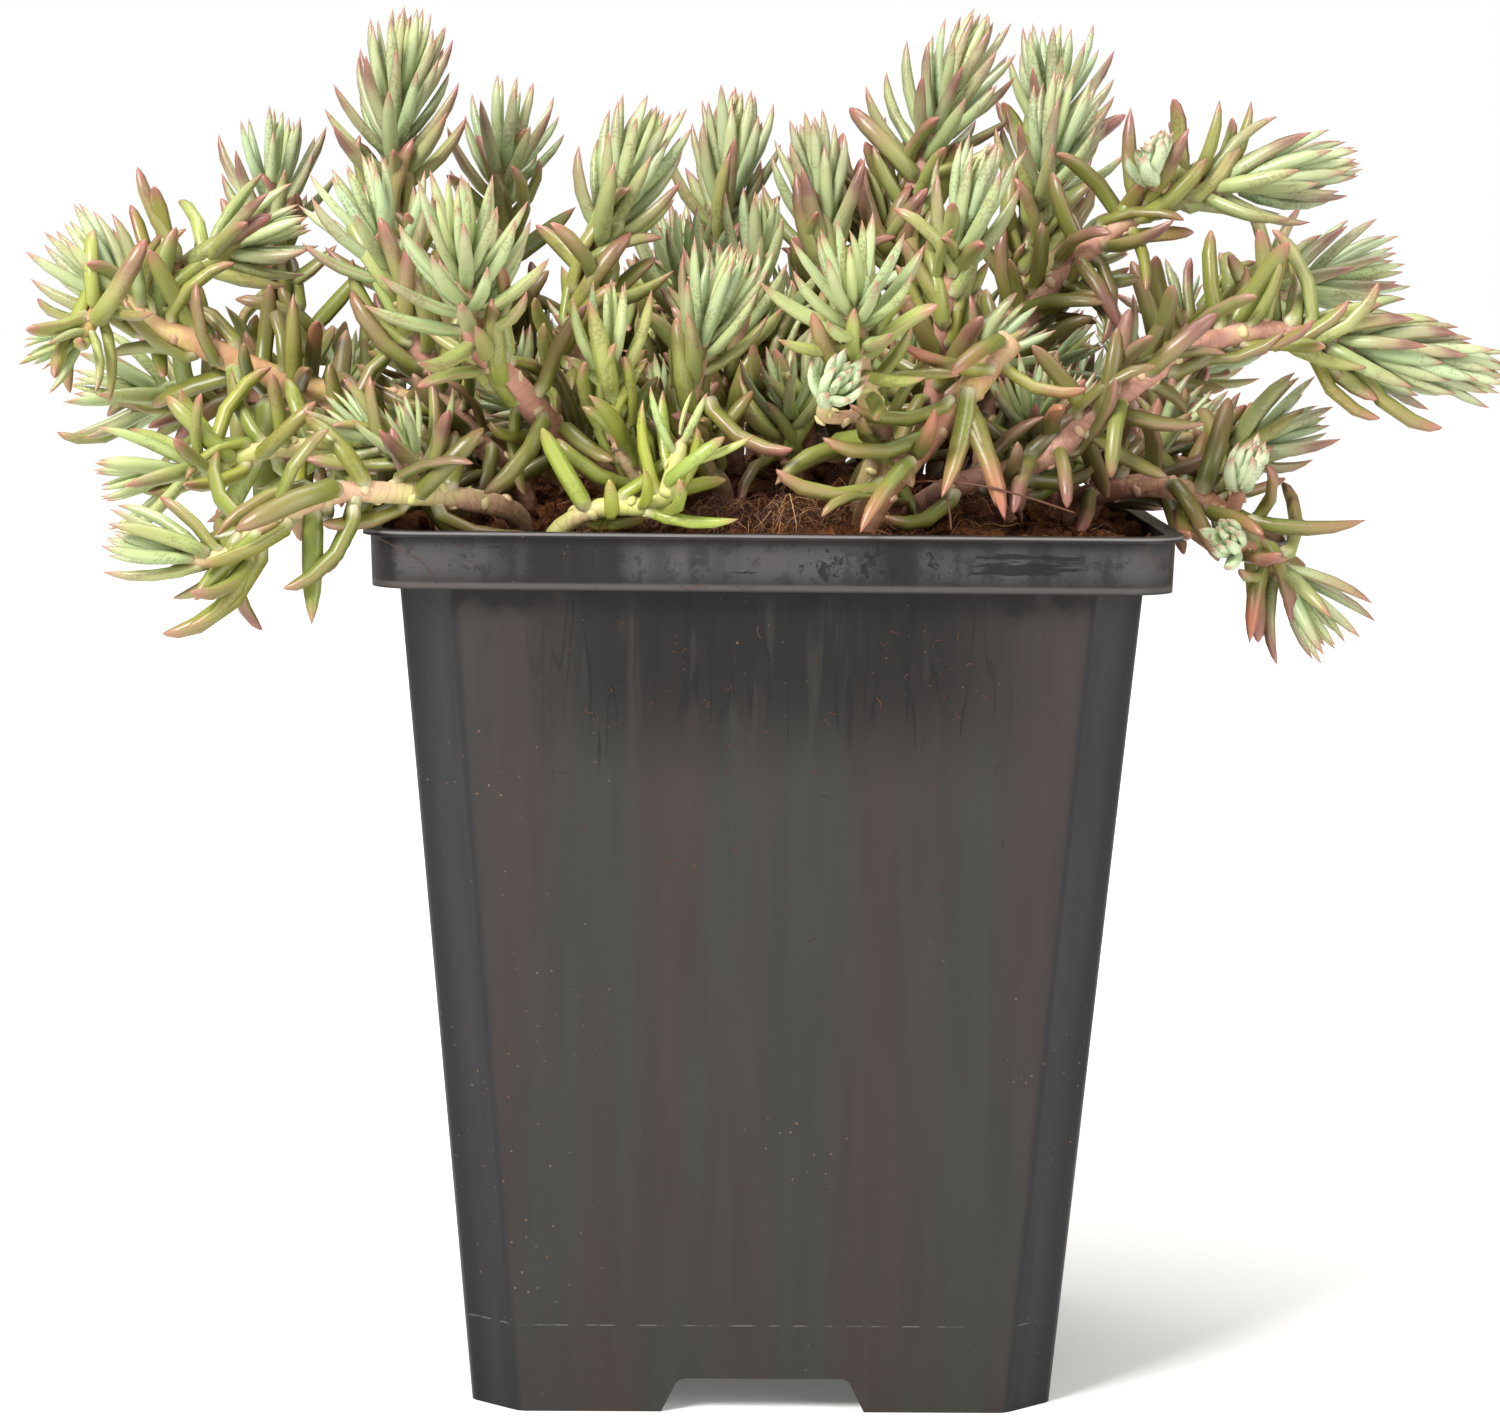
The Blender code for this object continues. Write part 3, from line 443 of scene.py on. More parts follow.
potLook = {
    "brown": "322b28",
    "green": "2e2e2a",
    "dark": "221d1c",
    # painted shade: the corner facets, which face away from the light, are coloured darker
    "facet": "1e1e21",
    # painted shade in the groove where each facet meets a panel
    "crease": "131317",
    # thin water runs, and blotches right under the band that are wet stains with painted shade
    "drip": "0a080a",
    # wet stains under the band, darkened further with painted shade where the band overhangs
    "soak": "0c0908",
    "dust": "8d6d52",
    "mould": "8d8a80",
    "rim": "1a1718",
    "rimSheen": "434041",
    # painted highlight along the band's rounded lower edge
    "rimEdge": "5a5552",
    # painted highlight along the top of the lip
    "lipLine": "8d8886",
    "wet": "121113",
    "specks": (700, 0.13, 50),
    "dustShare": 0.5,
    "grain": (1600, 1.0),
    "bump": (0.1, 0.06),
    # level lines: the height, then how far it reaches up and down, in metres, and its strength
    "mouldLine": (0.0101, 0.0001, 0.00003),
    "edgeLine": (0.0941, 0.0005, 0.0001, 0.0, 0.6),
    "sheenLine": (0.0968, 0.0034, 0.0004),
    "patchLine": (0.0968, 0.0028, 0.0012),
    "topLine": (0.0998, 0.00022, 0.00006, 0.0, 0.6),
    # noises: scale, or three where they are stretched, detail and roughness
    "torn": (430, 9.0, 0.74),
    "lying": ((75, 75, 900), 6.0, 0.7),
    "upright": ((150, 150, 7), 3.0),
    "drawn": ((420, 420, 14), 5.0),
    "broad": ((110, 110, 3), 2.0),
    "soaked": ((300, 300, 12), 4.0, 0.6),
    "thin": ((480, 480, 1.5), 1.0),
    "blotches": (320, 5.0),
    # the torn patch on the band, then its lying streaks: place across and how much darker they make it
    "patches": ((0.010, 0.13), (0.028, 0.12)),
    "patchReach": (0.013, 0.004),
    "patchEdge": (0.65, 0.68),
    "sheenBands": (0.36, 0.62),
    "sheenTorn": (0.66, 0.7, 0.45, 1.0),
    "sheenTear": 0.4,
    "wetShare": 0.9,
    "rimGloss": (0.0, 1.0, 0.36, 0.18),
    # the painted shade on the facets, which starts where the width passes the corner, and the soaked middle
    # under the band, darkened by wet stains and painted shade
    "facetEdge": (-0.0007, 0.0004, 0.0, 0.85),
    "creasePlace": 0.0009,
    "creaseWidth": (0.0012, 0.0002, 0.0, 0.6),
    "soakAcross": (0.032, 0.016),
    "soakHeight": (0.07, 0.085),
    "soakDepth": (0.34, 0.48, 0.45, 1.0),
    "soakShare": 0.9,
    "runWidth": (0.03, 0.012),
    "runEnds": (-0.03, 0.0925),
    "runFade": (0.0, 0.004),
    "runAcross": (0.0, 1.0, 0.1, 0.85),
    # the blotchy wet stains and painted shade right under the band
    "blotchLift": 0.011,
    "blotchHeight": (0.0958, 0.0992, 0.0, 0.85),
    "greenFrom": (0.42, 0.58),
    "darkFrom": (0.35, 0.75, 0.0, 0.3),
    "mouldFrom": (0.45, 0.6, 0.0, 0.35),
    "bodyGloss": (0.3, 0.7, 0.42, 0.5),
}

soilLook = {
    "browns": [(0.2, "0f0602"), (0.45, "3c200e"), (0.62, "643a1a"), (0.8, "8a5c34")],
    "fibres": [(0.0, "260f04"), (0.45, "5d3014"), (0.85, "8c5830"), (1.0, "c29762")],
    "grain": (1500, 1.2),
    "bump": (1.0, 0.6),
    "brownSpread": 0.48,
    "fibreGrain": (2600, 0.5),
    "fibreBump": (0.3, 0.05),
}


def leafMaterial(specks, grain):
    material, tree, shader = newMaterial("sedumLeaf")
    age, flush, seed, lime = attribute(tree, "leafTone")
    along, outer, burn, bud = attribute(tree, "leafShape")
    speckle, cloud = specksOf(tree, specks, *leafLook["specks"])
    grown = ramp(tree, age, leafLook["ages"])
    colour = layered(tree, grown, leafLook, lime=times(tree, lime, leafLook["limeShare"]))
    shade = mixTint(tree, seed, leafLook["warmShade"], leafLook["coolShade"])
    colour = mixTint(tree, leafLook["shadeShare"], colour, shade, "MULTIPLY")
    edge = between(tree, farFrom(tree, outer, leafLook["edgeMiddle"]), *leafLook["edgeWidth"])
    colour = layered(
        tree, colour, leafLook,
        bloom=between(tree, age, *leafLook["bloomAges"]),
        bud=bud,
        speckle=times(tree, speckle, leafLook["speckShare"]),
        flush=times(tree, edge, mathNode(tree, "MULTIPLY_ADD", flush, *leafLook["edgeFlush"])),
    )
    patch = between(tree, cloud, *leafLook["patches"])
    back = between(tree, outer, *leafLook["flushBack"])
    amount = times(tree, between(tree, along, *leafLook["flushAlong"]), back, patch, flush)
    old = between(tree, age, *leafLook["tipAges"])
    colour = layered(
        tree, colour, leafLook,
        flush=mathNode(tree, "MINIMUM", amount, leafLook["flushMost"]),
        deepFlush=between(tree, amount, *leafLook["deepFrom"]),
        burn=times(tree, between(tree, along, *leafLook["burnAlong"]), burn, patch),
        tip=times(tree, between(tree, along, *leafLook["tipAlong"]), old),
        spur=between(tree, along, *leafLook["spurAlong"]),
    )
    finish(tree, shader, grainOf(tree, grain, *leafLook["grain"]), *leafLook["bump"], {
        "Base Color": colour, "Roughness": leafLook["roughness"], "Subsurface Weight": 0.07,
        "Subsurface Radius": (0.9, 1.0, 0.35), "Subsurface Scale": 1.2 * mm,
    })
    return material


def stemMaterial(specks, grain):
    material, tree, shader = newMaterial("sedumStem")
    age, warmth = attribute(tree, "leafTone")[:2]
    along = attribute(tree, "leafShape")[0]
    scuff, cloud = specksOf(tree, specks, *stemLook["specks"])
    varied = mathNode(tree, "ADD", warmth, between(tree, cloud, *stemLook["toneDrift"]))
    drift = times(tree, cloud, stemLook["ringDrift"])
    wobble = mathNode(tree, "ADD", times(tree, along, stemLook["rings"]), drift)
    rings = mathNode(tree, "SINE", times(tree, wobble, stemLook["ringTurn"]))
    old = between(tree, age, *stemLook["ringAges"])
    crack = times(tree, between(tree, rings, *stemLook["ringWidth"]), old)
    colour = layered(
        tree, ramp(tree, varied, stemLook["tones"]), stemLook,
        old=between(tree, age, *stemLook["oldAges"]),
        young=between(tree, age, *stemLook["youngAges"]),
        scuff=times(tree, scuff, stemLook["scuffShare"]),
        crack=crack,
    )
    height = mathNode(tree, "SUBTRACT", grainOf(tree, grain, *stemLook["grain"]), crack)
    finish(tree, shader, height, *stemLook["bump"], {
        "Base Color": colour, "Roughness": stemLook["roughness"], "Subsurface Weight": 0.1,
        "Subsurface Radius": (1.0, 0.5, 0.35), "Subsurface Scale": 0.9 * mm,
    })
    return material


def soilMaterial(grain):
    material, tree, shader = newMaterial("coirSoil")
    height = grainOf(tree, grain, *soilLook["grain"])
    colour = ramp(tree, times(tree, height, soilLook["brownSpread"]), soilLook["browns"])
    finish(tree, shader, height, *soilLook["bump"], {
        "Base Color": colour, "Roughness": 0.95, "Specular IOR Level": 0.15,
    })
    return material


def fibreMaterial(grain):
    material, tree, shader = newMaterial("coirFibre")
    colour = ramp(tree, attribute(tree, "leafTone")[0], soilLook["fibres"])
    height = grainOf(tree, grain, *soilLook["fibreGrain"])
    finish(tree, shader, height, *soilLook["fibreBump"], {"Base Color": colour, "Roughness": 0.6})
    return material


def levelLine(tree, height, name):
    middle, *reach = potLook[name]
    return between(tree, farFrom(tree, height, middle), *reach)


def rimColour(tree, place, axes):  # a painted sheen half way up the band, broken by torn dark patches and streaks, with painted highlights along its lower edge and its lip
    across, height = axes["X"], axes["Z"]
    torn = noiseOf(tree, place, *potLook["torn"])
    lying = stretchedNoise(tree, place, *potLook["lying"])
    upright = stretchedNoise(tree, place, *potLook["upright"])
    nearMiddle = levelLine(tree, height, "patchLine")
    patches = []
    for pattern, (middle, lift) in zip((torn, lying), potLook["patches"]):
        aside = between(tree, farFrom(tree, across, middle), *potLook["patchReach"])
        lifted = mathNode(tree, "MULTIPLY_ADD", times(tree, aside, nearMiddle), lift, pattern)
        patches.append(between(tree, lifted, *potLook["patchEdge"]))
    wet = mathNode(tree, "MAXIMUM", *patches)
    ragged = mathNode(tree, "MULTIPLY_ADD", upright, potLook["sheenTear"], torn)
    bands = between(tree, upright, *potLook["sheenBands"])
    sheen = times(tree, levelLine(tree, height, "sheenLine"), bands)
    colour = layered(
        tree, potLook["rim"], potLook,
        rimSheen=times(tree, sheen, between(tree, ragged, *potLook["sheenTorn"])),
        # painted highlight along the band's lower edge
        rimEdge=levelLine(tree, height, "edgeLine"),
        wet=times(tree, wet, potLook["wetShare"]),
        # painted highlight along the lip
        lipLine=levelLine(tree, height, "topLine"),
    )
    return colour, between(tree, wet, *potLook["rimGloss"])


def bodyColour(tree, place, axes):  # drawn plastic, painted shade on its corner facets and in the groove beside them, and below the band the water runs, wet stains and painted shade
    height = axes["Z"]
    drawn, broad, soaked, thin = (
        stretchedNoise(tree, place, *potLook[name]) for name in ("drawn", "broad", "soaked", "thin")
    )
    nearer = mathNode(tree, "MINIMUM", *[mathNode(tree, "ABSOLUTE", axes[axis]) for axis in ("X", "Y")])
    low, high = (half - corner for half, corner, _, _ in (bodySection(0.0), bodySection(potShape["bandLow"])))
    edge = mathNode(tree, "MULTIPLY_ADD", height, (high - low) / potShape["bandLow"], low * mm)
    beyond = mathNode(tree, "SUBTRACT", nearer, edge)  # above 0 on the facets
    middle = between(tree, nearer, *potLook["soakAcross"])
    reach = times(tree, between(tree, height, *potLook["soakHeight"]), middle)
    ends = mathNode(tree, "MULTIPLY_ADD", soaked, *potLook["runEnds"])
    run = times(
        tree, between(tree, mathNode(tree, "SUBTRACT", height, ends), *potLook["runFade"]),
        between(tree, farFrom(tree, thin, 0.5), *potLook["runWidth"]),
        between(tree, middle, *potLook["runAcross"]),
    )
    blotches = noiseOf(tree, place, *potLook["blotches"])
    lifted = mathNode(tree, "MULTIPLY_ADD", blotches, potLook["blotchLift"], height)
    colour = layered(
        tree, potLook["brown"], potLook,
        green=between(tree, broad, *potLook["greenFrom"]),
        dark=between(tree, drawn, *potLook["darkFrom"]),
        # painted shade on the corner facets
        facet=between(tree, beyond, *potLook["facetEdge"]),
        # painted shade in the groove beside each facet
        crease=between(tree, farFrom(tree, beyond, potLook["creasePlace"]), *potLook["creaseWidth"]),
        # wet stains and painted shade under the band
        soak=times(tree, reach, between(tree, soaked, *potLook["soakDepth"]), potLook["soakShare"]),
        # water runs, and painted shade with wet stains in blotches right under the band
        drip=mathNode(tree, "MAXIMUM", run, between(tree, lifted, *potLook["blotchHeight"])),
        mould=times(tree, levelLine(tree, height, "mouldLine"), between(tree, drawn, *potLook["mouldFrom"])),
    )
    return colour, between(tree, drawn, *potLook["bodyGloss"])


def potMaterial(specks, grain, name, bodyOrRim):
    material, tree, shader = newMaterial(name)
    place = objectPlace(tree)
    colour, roughness = bodyOrRim(tree, place, put(tree, "SeparateXYZ", {0: place}).outputs)
    speck = specksOf(tree, specks, *potLook["specks"])["Mask"]
    colour = layered(tree, colour, potLook, dust=times(tree, speck, potLook["dustShare"]))
    finish(tree, shader, grainOf(tree, grain, *potLook["grain"]), *potLook["bump"], {
        "Base Color": colour, "Roughness": roughness, "Specular IOR Level": 0.25,
    })
    return material


def floorMaterial(grain):
    material, tree, shader = newMaterial("paleFloor")
    away = put(tree, "VectorMath", {0: objectPlace(tree)}, operation="LENGTH").outputs["Value"]
    finish(tree, shader, grainOf(tree, grain, *studio["floorGrain"]), *studio["floorBump"], {
        "Base Color": tint(studio["floorTint"], plain=True), "Roughness": 0.8,
        "Emission Color": ramp(tree, between(tree, away, *studio["glowReach"]), studio["floorGlow"]),
        "Emission Strength": put(tree, "LightPath").outputs["Is Camera Ray"],
    })
    return material


# Pot

potShape = {
    "footHalf": 32.85,
    "topHalf": 41.15,
    "bandLow": 93.6,
    "bandHalf": 44.2,
    "bandDraft": 0.2,
    "lipHalf": 45.0,
    "lipLow": 99.2,
    "height": 100.0,
    "lipStep": 0.15,
    "wall": 1.2,
    "level": 0.03,  # bridge_loops needs the outlines of a flat ring at slightly different heights
    "facets": (5.5, 6.2),
    "crease": 0.7,
    "rimRadius": 6.2,
    "facetStep": (0.7, -0.28),
    "facetArea": 3e-4,  # the long corner facets are larger than this, in square metres
    "pocketRoom": (1.0, 0.2),  # how far the hollows of the feet are cut up and in
    "channelHeight": 3.9,
    "channelWidths": (22.9, 19.1),
    "channelRound": 0.8,
    "channelLength": 110,
    "drainRadius": 2.5,
    "drainReach": 17.0,
    "drainSides": 28,
    "edgeRound": 0.34,
    "edgeAngle": 32,
    # segments of a round corner and of a cut one
    "roundSteps": 7,
    "creaseSteps": 3,
}


def bodySection(height, inset=0.0):  # half the width and the corner cut, at a height of the tapered body
    share = height / potShape["bandLow"]
    low, high = potShape["facets"]
    half = potShape["footHalf"] + (potShape["topHalf"] - potShape["footHalf"]) * share
    return half - inset, low + (high - low) * share - inset * (2 - math.sqrt(2)), height, False


def roundCorners(bm, verts, offset, segments):
    bmesh.ops.bevel(bm, geom=verts, offset=offset * mm, offset_type="OFFSET", segments=segments, profile=0.5,
                    affect="VERTICES", material=-1)


def squareLoop(bm, half, corner, height, rounded):  # a level square outline with round or cut corners
    known = set(bm.edges)
    verts = bmesh.ops.create_grid(bm, x_segments=1, y_segments=1, size=half * mm)["verts"]
    roundCorners(bm, verts, corner, potShape["roundSteps"] if rounded else 1)
    if not rounded:
        verts = list({vert for edge in set(bm.edges) - known for vert in edge.verts})
        roundCorners(bm, verts, potShape["crease"], potShape["creaseSteps"])
    loop = [edge for edge in bm.edges if edge not in known]
    faces = list({face for edge in loop for face in edge.link_faces})
    bmesh.ops.delete(bm, geom=faces, context="FACES_ONLY")
    verts = list({vert for edge in loop for vert in edge.verts})
    bmesh.ops.translate(bm, vec=(0, 0, height * mm), verts=verts)
    return loop


def squareSolid(sections):  # a closed body through square outlines
    bm = bmesh.new()
    loops = [squareLoop(bm, *section) for section in sections]
    for low, high in zip(loops, loops[1:]):
        bmesh.ops.bridge_loops(bm, edges=low + high)
    bmesh.ops.edgeloop_fill(bm, edges=loops[0])
    bmesh.ops.edgeloop_fill(bm, edges=loops[-1])
    bmesh.ops.recalc_face_normals(bm, faces=bm.faces)
    if bm.calc_volume(signed=True) < 0:
        bmesh.ops.reverse_faces(bm, faces=bm.faces)
    return bm


def channelBar(alongX, grow=0.0):
    bm = bmesh.new()
    bmesh.ops.create_cube(bm, size=1.0)
    low, high = (width + 2 * grow for width in potShape["channelWidths"])
    for vert in bm.verts:
        top = vert.co.z > 0
        width = high if top else low + (low - high)
        depth = potShape["channelHeight"] + grow if top else -potShape["channelHeight"]
        vert.co = Vector((vert.co.x * potShape["channelLength"], vert.co.y * width, depth)) * mm
    ridges = [edge for edge in bm.edges if all(vert.co.z > 0 for vert in edge.verts)]
    ridges = [edge for edge in ridges if abs(edge.verts[0].co.y - edge.verts[1].co.y) < mm]
    bmesh.ops.bevel(bm, geom=ridges, offset=potShape["channelRound"] * mm, segments=5, profile=0.5,
                    affect="EDGES", material=-1)
    if not alongX:
        bmesh.ops.rotate(bm, matrix=Matrix.Rotation(math.pi / 2, 3, "Z"), verts=bm.verts)
    return bm


def makePot(plastics):  # the body's, then the rim's
    wall = potShape["wall"]
    ledge = potShape["bandLow"] + wall
    floorTop = potShape["channelHeight"] + wall
    rimInside = potShape["bandHalf"] - wall
    radius = potShape["rimRadius"]
    level = potShape["level"]
    bm = squareSolid([
        bodySection(0.0),
        bodySection(potShape["bandLow"]),
        (potShape["bandHalf"] - potShape["bandDraft"], radius, potShape["bandLow"] + level, True),
        (potShape["bandHalf"], radius, potShape["lipLow"], True),
        (potShape["lipHalf"], radius, potShape["lipLow"] + potShape["lipStep"], True),
        (potShape["lipHalf"], radius, potShape["height"], True),
        (rimInside, radius - wall, potShape["height"] - level, True),
        (rimInside - potShape["bandDraft"], radius - wall, ledge, True),
        bodySection(ledge - level, wall),
        bodySection(floorTop, wall),
    ])
    corners = [
        face for face in bm.faces
        if face.calc_area() > potShape["facetArea"] and abs(abs(face.normal.x) - abs(face.normal.y)) < 0.05
        and face.normal.dot(face.calc_center_median() * Vector((1, 1, 0))) > 0 and abs(face.normal.x) > 0.5
    ]
    thickness, depth = potShape["facetStep"]
    bmesh.ops.inset_individual(bm, faces=corners, thickness=thickness * mm, depth=depth * mm,
                               use_even_offset=True)
    for face in bm.faces:
        outward = face.normal.dot(face.calc_center_median() * Vector((1, 1, 0))) > 0
        high = face.calc_center_median().z > (potShape["bandLow"] - 0.01) * mm
        face.material_index = 1 if high and (outward or face.normal.z > 0.5) else 0
    potPiece = newObject(bm, "potShell", plastics)

    cutUp, cutIn = potShape["pocketRoom"]
    pockets = squareSolid([bodySection(wall, wall), bodySection(floorTop + cutUp, wall + cutIn)])
    pocketPiece = newObject(pockets, "footPockets", [])
    for alongX in (True, False):
        carve(pocketPiece, channelBar(alongX, wall))
    bm = bmesh.new()
    bm.from_mesh(pocketPiece.data)
    bpy.data.objects.remove(pocketPiece, do_unlink=True)
    carve(potPiece, bm)
    for alongX in (True, False):
        carve(potPiece, channelBar(alongX))
    drain = potShape["drainRadius"] * mm
    reach = potShape["drainReach"]
    for x, y in ((0, 0), (reach, 0), (-reach, 0), (0, reach), (0, -reach)):
        bm = bmesh.new()
        bmesh.ops.create_cone(bm, cap_ends=True, segments=potShape["drainSides"], radius1=drain,
                              radius2=drain, depth=4 * wall * mm)
        bmesh.ops.translate(bm, vec=Vector((x, y, potShape["channelHeight"] + wall / 2)) * mm, verts=bm.verts)
        carve(potPiece, bm)
    modifier = potPiece.modifiers.new("softEdges", "BEVEL")
    modifier.width = potShape["edgeRound"] * mm
    modifier.segments = 3
    modifier.limit_method = "ANGLE"
    modifier.angle_limit = math.radians(potShape["edgeAngle"])
    modifier.harden_normals = True
    for face in potPiece.data.polygons:
        face.use_smooth = True
    applyModifiers(potPiece)
    asPiece(potPiece, "pot_plastic", "pot")


# Soil

soilShape = {
    "edgeHeight": 96.5,
    "heap": 8.0,
    "heapSpread": 23.0,
    "bump": 1.2,
    "bumpSize": 8.5,
    "half": 42.6,
    "cornerRadius": 4.8,
    "cells": 110,
    "crustDepth": 3.0,
    "lift": 0.9,
    "clods": 1.5,
    "clodSize": 2.6,
    "crumbs": 900,
    "crumbSize": (0.3, 1.2),
    "crumbSquash": (0.6, 1.2),
    "crumbRise": 0.25,
    "crumbRoughness": 0.22,
    "crumbScales": (2100, 2300, 1900),
    "fibres": 1700,
    "fibreLength": (2.0, 7.0),
    "fibreRadius": (0.03, 0.075),
    "fibreSteps": 6,
    "fibreCurl": (0.16, 0.22),  # steady, then at each step
    "fibreRises": (0.1, 0.9),
    "fibreArch": 0.22,
    "fibreTaper": 0.6,
    # a tangle that stands up near the front: middle, spread, count and how far its fibres rise
    "tangle": ((-3.0, -34.0), (7.0, 3.5), 620, (0.4, 2.6)),
    # single long rootlets in the front
    "strays": [
        [(14, -38.5, 104.8), (20, -42, 105.6), (26, -43.4, 104.6), (33, -43, 102.4)],
        [(18.6, -42, 104.2), (19, -42.4, 102.4), (19.2, -42.6, 100.4)],
    ],
    "strayRadius": 0.13,
    "strayTone": 0.35,
}


def soilHeight(x, y):
    heap = math.exp(-(x * x + y * y) / (2 * (soilShape["heapSpread"] * mm) ** 2))
    lumps = noise(Vector((x, y, 0)) / (soilShape["bumpSize"] * mm))
    return (soilShape["edgeHeight"] + soilShape["heap"] * heap + soilShape["bump"] * lumps) * mm


def crustHeight(x, y):
    clods = fractal(Vector((x, y, 0.01)) / (soilShape["clodSize"] * mm), 0.7, 2.0, 4)
    return soilHeight(x, y) + (soilShape["lift"] + soilShape["clods"] * max(clods, -0.35)) * mm


def makeCrust(material):
    bm = bmesh.new()
    half, radius = soilShape["half"] * mm, soilShape["cornerRadius"] * mm
    cells = soilShape["cells"]
    bmesh.ops.create_grid(bm, x_segments=cells, y_segments=cells, size=half)
    for vert in bm.verts:
        over = Vector((abs(vert.co.x) - half + radius, abs(vert.co.y) - half + radius))
        if over.x > 0 and over.y > 0:  # the corners follow the pot's round corners
            pull = max(over.x, over.y) / over.length
            vert.co.x = math.copysign(half - radius + over.x * pull, vert.co.x)
            vert.co.y = math.copysign(half - radius + over.y * pull, vert.co.y)
        vert.co.z = crustHeight(vert.co.x, vert.co.y)
    low = bmesh.ops.extrude_face_region(bm, geom=bm.faces[:], use_keep_orig=True)["geom"]
    bmesh.ops.translate(bm, vec=(0, 0, -soilShape["crustDepth"] * mm), verts=ofType(low, bmesh.types.BMVert))
    bmesh.ops.recalc_face_normals(bm, faces=bm.faces)
    asPiece(newObject(bm, "soilCrust", [material]), "soil")


def makeCrumbs(material, dice):
    bm = bmesh.new()
    bmesh.ops.create_icosphere(bm, subdivisions=1, radius=1.0)
    crumb = asMesh(bm, "crumb")
    bm = bmesh.new()
    reach = 0.96 * (soilShape["half"] - 1.5) * mm
    for _ in range(soilShape["crumbs"]):
        x, y = (dice.uniform(-reach, reach) for _ in range(2))
        size = dice.uniform(*soilShape["crumbSize"]) * mm
        turned = Quaternion([dice.uniform(-1, 1) for _ in range(4)]).normalized().to_matrix().to_4x4()
        squash = Matrix.Diagonal([size * dice.uniform(*soilShape["crumbSquash"]) for _ in range(3)] + [1])
        place = Matrix.Translation((x, y, crustHeight(x, y) + size * soilShape["crumbRise"]))
        stamp(bm, crumb, place @ turned @ squash)
    for vert in bm.verts:
        rough = Vector([noise(vert.co * scale) for scale in soilShape["crumbScales"]])
        vert.co += rough * soilShape["crumbRoughness"] * mm
    asPiece(newObject(bm, "soilCrumbs", [material]), "soil")


def stampFibre(bm, dice, start, length, thickness, rise):  # one curly fibre that lies on the soil
    steady, loose = soilShape["fibreCurl"]
    heading = dice.uniform(0, math.tau)
    bend = dice.uniform(-steady, steady)
    steps = soilShape["fibreSteps"]
    point = Vector((*start, 0))
    points, radii = [], []
    limit = (soilShape["half"] - 0.6) * mm
    for i in range(steps + 1):
        share = i / steps
        point.x = max(-limit, min(limit, point.x))
        point.y = max(-limit, min(limit, point.y))
        lift = rise * math.sin(math.pi * share) * length * soilShape["fibreArch"]
        ground = crustHeight(point.x, point.y)
        points.append(Vector((point.x, point.y, ground + (lift + thickness * 0.4) * mm)))
        radii.append(thickness * mm * (1 - soilShape["fibreTaper"] * abs(2 * share - 1)))
        heading += bend + dice.uniform(-loose, loose)
        point += Vector((math.cos(heading), math.sin(heading), 0)) * length * mm / steps
    stampTube(bm, points, radii, 4, (dice.random(), 0, 0, 0))


def makeFibres(material, dice):
    bm = tonedMesh()
    middle, spread, count, rises = soilShape["tangle"]
    loose = soilShape["fibres"]
    reach = 0.95 * (soilShape["half"] - 2.5) * mm
    starts = [[dice.uniform(-reach, reach) for _ in range(2)] for _ in range(loose)]
    starts += [[dice.gauss(at, width) * mm for at, width in zip(middle, spread)] for _ in range(count)]
    for i, start in enumerate(starts):
        length, thickness = dice.uniform(*soilShape["fibreLength"]), dice.uniform(*soilShape["fibreRadius"])
        rise = dice.uniform(*(rises if i >= loose else soilShape["fibreRises"]))
        stampFibre(bm, dice, start, length, thickness, rise)
    for route in soilShape["strays"]:
        points = smoothRoute([Vector(point) * mm for point in route], upward)
        radii = [soilShape["strayRadius"] * mm * (1 + 0.25 * noise(point * 700)) for point in points]
        stampTube(bm, points, radii, 6, (soilShape["strayTone"], 0, 0, 0))
    asPiece(newObject(bm, "soilFibres", [material]), "soil")


def makeSoil(soilFinish, fibreFinish):
    dice = random.Random(5)
    makeCrust(soilFinish)
    makeCrumbs(soilFinish, dice)
    makeFibres(fibreFinish, dice)


potLitter = {
    "count": 70,
    "across": (-26, 26),
    "below": (91, 14),  # the top of the specks, and how far they spread down
    "length": (0.25, 1.9),
    "bends": (-1.2, 1.2),
    "tones": (0.05, 0.6),
    "steps": 4,
    "thickness": 0.032,
    "hairTone": 0.35,
    # loose hairs on the band: points across and up
    "hairs": [
        [(-43.5, 99.4), (-41.0, 98.2), (-38.6, 96.9), (-37.2, 95.2), (-36.6, 93.9)],
        [(40.1, 99.4), (40.9, 97.9), (41.6, 96.8), (42.3, 95.6)],
        [(-35.0, 98.9), (-34.2, 98.3), (-33.6, 98.9)],
        [(-10.4, 94.3), (-9.2, 93.9), (-8.0, 94.4), (-7.0, 93.8)],
        [(-4.6, 94.6), (-3.6, 94.0), (-2.4, 94.3), (-1.8, 95.2)],
    ],
}


def frontOfPot(x, z):
    onBand = z > potShape["bandLow"] - 0.4
    half = potShape["bandHalf"] if onBand else bodySection(z)[0]
    return Vector((x, -half - potLitter["thickness"] * 0.8, z)) * mm


